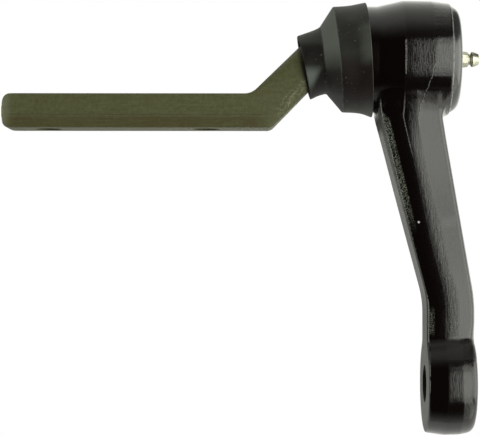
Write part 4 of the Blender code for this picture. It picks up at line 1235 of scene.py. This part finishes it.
studio = {
    "floorZ": -0.30,
    "floorLow": (-1.1, 0.0),
    "floorHigh": (0.75, 1.2),
    "floorShade": 0.86,
    "floorGlow": 0.2,
    "floorPoints": 5,          # along each side
    "panels": {                # place, width and height, power
        "key_panel": ((0.870, -1.057, -0.01), (0.95, 2.15), 12.6),         # right of the camera
        "side_panel": ((1.35, -0.25, 0.0), (1.2, 1.3), 12.0),
        "left_panel": ((-1.25, -0.38, 0.20), (0.9, 1.3), 11.0),
    },
    "aim": (0.1, 0.0, 0.0),
    "tint": (0.985, 1.0, 0.925),
}


def addPanel(name, place, size, power):
    # an area light that faces the object
    lamp = bpy.data.lights.new(name, "AREA")
    lamp.shape = "RECTANGLE"
    lamp.size, lamp.size_y = size
    lamp.energy = power
    lamp.color = studio["tint"]
    item = bpy.data.objects.new(name, lamp)
    item.location = place
    item.rotation_euler = (item.location - Vector(studio["aim"])).to_track_quat("Z", "Y").to_euler()
    bpy.context.scene.collection.objects.link(item)


# Zones of the tent, each a pair of values of the direction's X, Y or Z: where it starts, and where it is full
tent = {
    "below": (0.0, -0.5),
    "behind": (-0.8, 0.0),
    "edgeX": (0.095, 0.26),    # bright strip by the right edge of the opening
    "edgeY": (-0.6, -0.8),
    "edgeZ": (0.52, 0.42),
    "asideX": (0.0, -0.15),    # darker left side
    "asideZ": (0.75, 0.45),
    "cornerX": (0.34, 0.48),   # bright lower right corner
    "cornerZ": (-0.45, -0.60),
    "gap": (0.25, 0.45),       # dark upper right corner, in X and in Z
}


def makeWorld():
    # white for the camera. For other rays it is bright behind, at the sides, above and below the object,
    # and dark towards the camera, like the open side of a tent. Each term is a smooth step of the direction
    world = bpy.data.worlds.new("tent")
    world.use_nodes = True
    tree = world.node_tree
    background = tree.nodes["Background"]
    start = Wire(tree)
    x, y, z = axesOf(start.node("TexCoord", {}, {}, 0))
    below = between(z, *tent["below"])
    cloth = between(y - below * 0.3, *tent["behind"]) * 0.75 + y.sum("MAXIMUM", y, 0.0) * 0.6
    edge = between(x, *tent["edgeX"]) * between(y, *tent["edgeY"]) * between(absolute(z), *tent["edgeZ"])
    aside = between(x, *tent["asideX"]) * between(absolute(z), *tent["asideZ"])
    corner = between(x, *tent["cornerX"]) * between(z, *tent["cornerZ"])
    gap = between(x, *tent["gap"]) * between(z, *tent["gap"])
    cloth = cloth * (1.0 - aside * 0.75) * (1.0 - gap * 0.9) + edge * 1.5 + corner * 1.5
    camera = start.node("LightPath", {}, {}, 0)
    level = camera + (1.0 - camera) * cloth
    tree.links.new(level.socket, background.inputs["Strength"])
    shade = blendColour(camera, studio["tint"], (1.0, 1.0, 1.0))
    tree.links.new(shade.socket, background.inputs["Color"])
    bpy.context.scene.world = world


def makeFloor():
    # a pale sheet under the hanging part, with a little glow of its own for camera and mirror rays
    low, high = np.array(studio["floorLow"]) / mm, np.array(studio["floorHigh"]) / mm
    count = studio["floorPoints"]
    x, y = np.meshgrid(*(np.linspace(low[i], high[i], count) for i in range(2)), indexing="ij")
    points = np.stack([x, y, np.full_like(x, studio["floorZ"] / mm)], axis=-1).reshape(-1, 3)
    row, column = np.meshgrid(np.arange(count - 1), np.arange(count - 1), indexing="ij")
    first = (row * count + column).ravel()
    corners = [first, first + count, first + count + 1, first + 1]
    floor = makeObject("floor", points, np.stack(corners, axis=-1))
    material, tree, shader = newMaterial("pale_floor", {
        "Base Color": (studio["floorShade"],) * 3 + (1.0,), "Roughness": 0.9, "Specular IOR Level": 0.1,
    })
    start = Wire(tree, shader.outputs[0])
    path = start.node("LightPath", {}, {}, 0).socket.node
    camera, glossy = Wire(tree, path.outputs[0]), Wire(tree, path.outputs[3])
    seen = start.sum("MAXIMUM", camera, glossy)
    glow = start.node("Emission", {}, {"Color": (1.0, 1.0, 1.0, 1.0), "Strength": studio["floorGlow"]})
    both = start.node("AddShader", {}, {0: start, 1: glow})
    mixed = start.node("MixShader", {}, {0: seen, 1: start, 2: both})
    tree.links.new(mixed.socket, tree.nodes["Material Output"].inputs["Surface"])
    dress(floor, material)


makeWorld()
makeFloor()
for panel, (place, size, power) in studio["panels"].items():
    addPanel(panel, place, size, power)

# Camera: level, square to the part, and a little under the middle of its height
lens = {
    "place": (0.05265, -0.866, -0.060),
    "focal": 138.75,
    "sensor": 36.0,
    "rise": 0.0835,
    "roll": math.radians(-0.05),
    "clipStart": 0.01,
}
view = bpy.data.cameras.new("camera")
view.lens = lens["focal"]
view.sensor_width = lens["sensor"]
view.shift_y = lens["rise"]
view.clip_start = lens["clipStart"]
viewItem = bpy.data.objects.new("camera", view)
viewItem.location = lens["place"]
viewItem.rotation_euler = (math.radians(90.0), lens["roll"], 0.0)
bpy.context.scene.collection.objects.link(viewItem)
bpy.context.scene.camera = viewItem
bpy.context.scene.view_settings.view_transform = "Standard"
print("studio done")
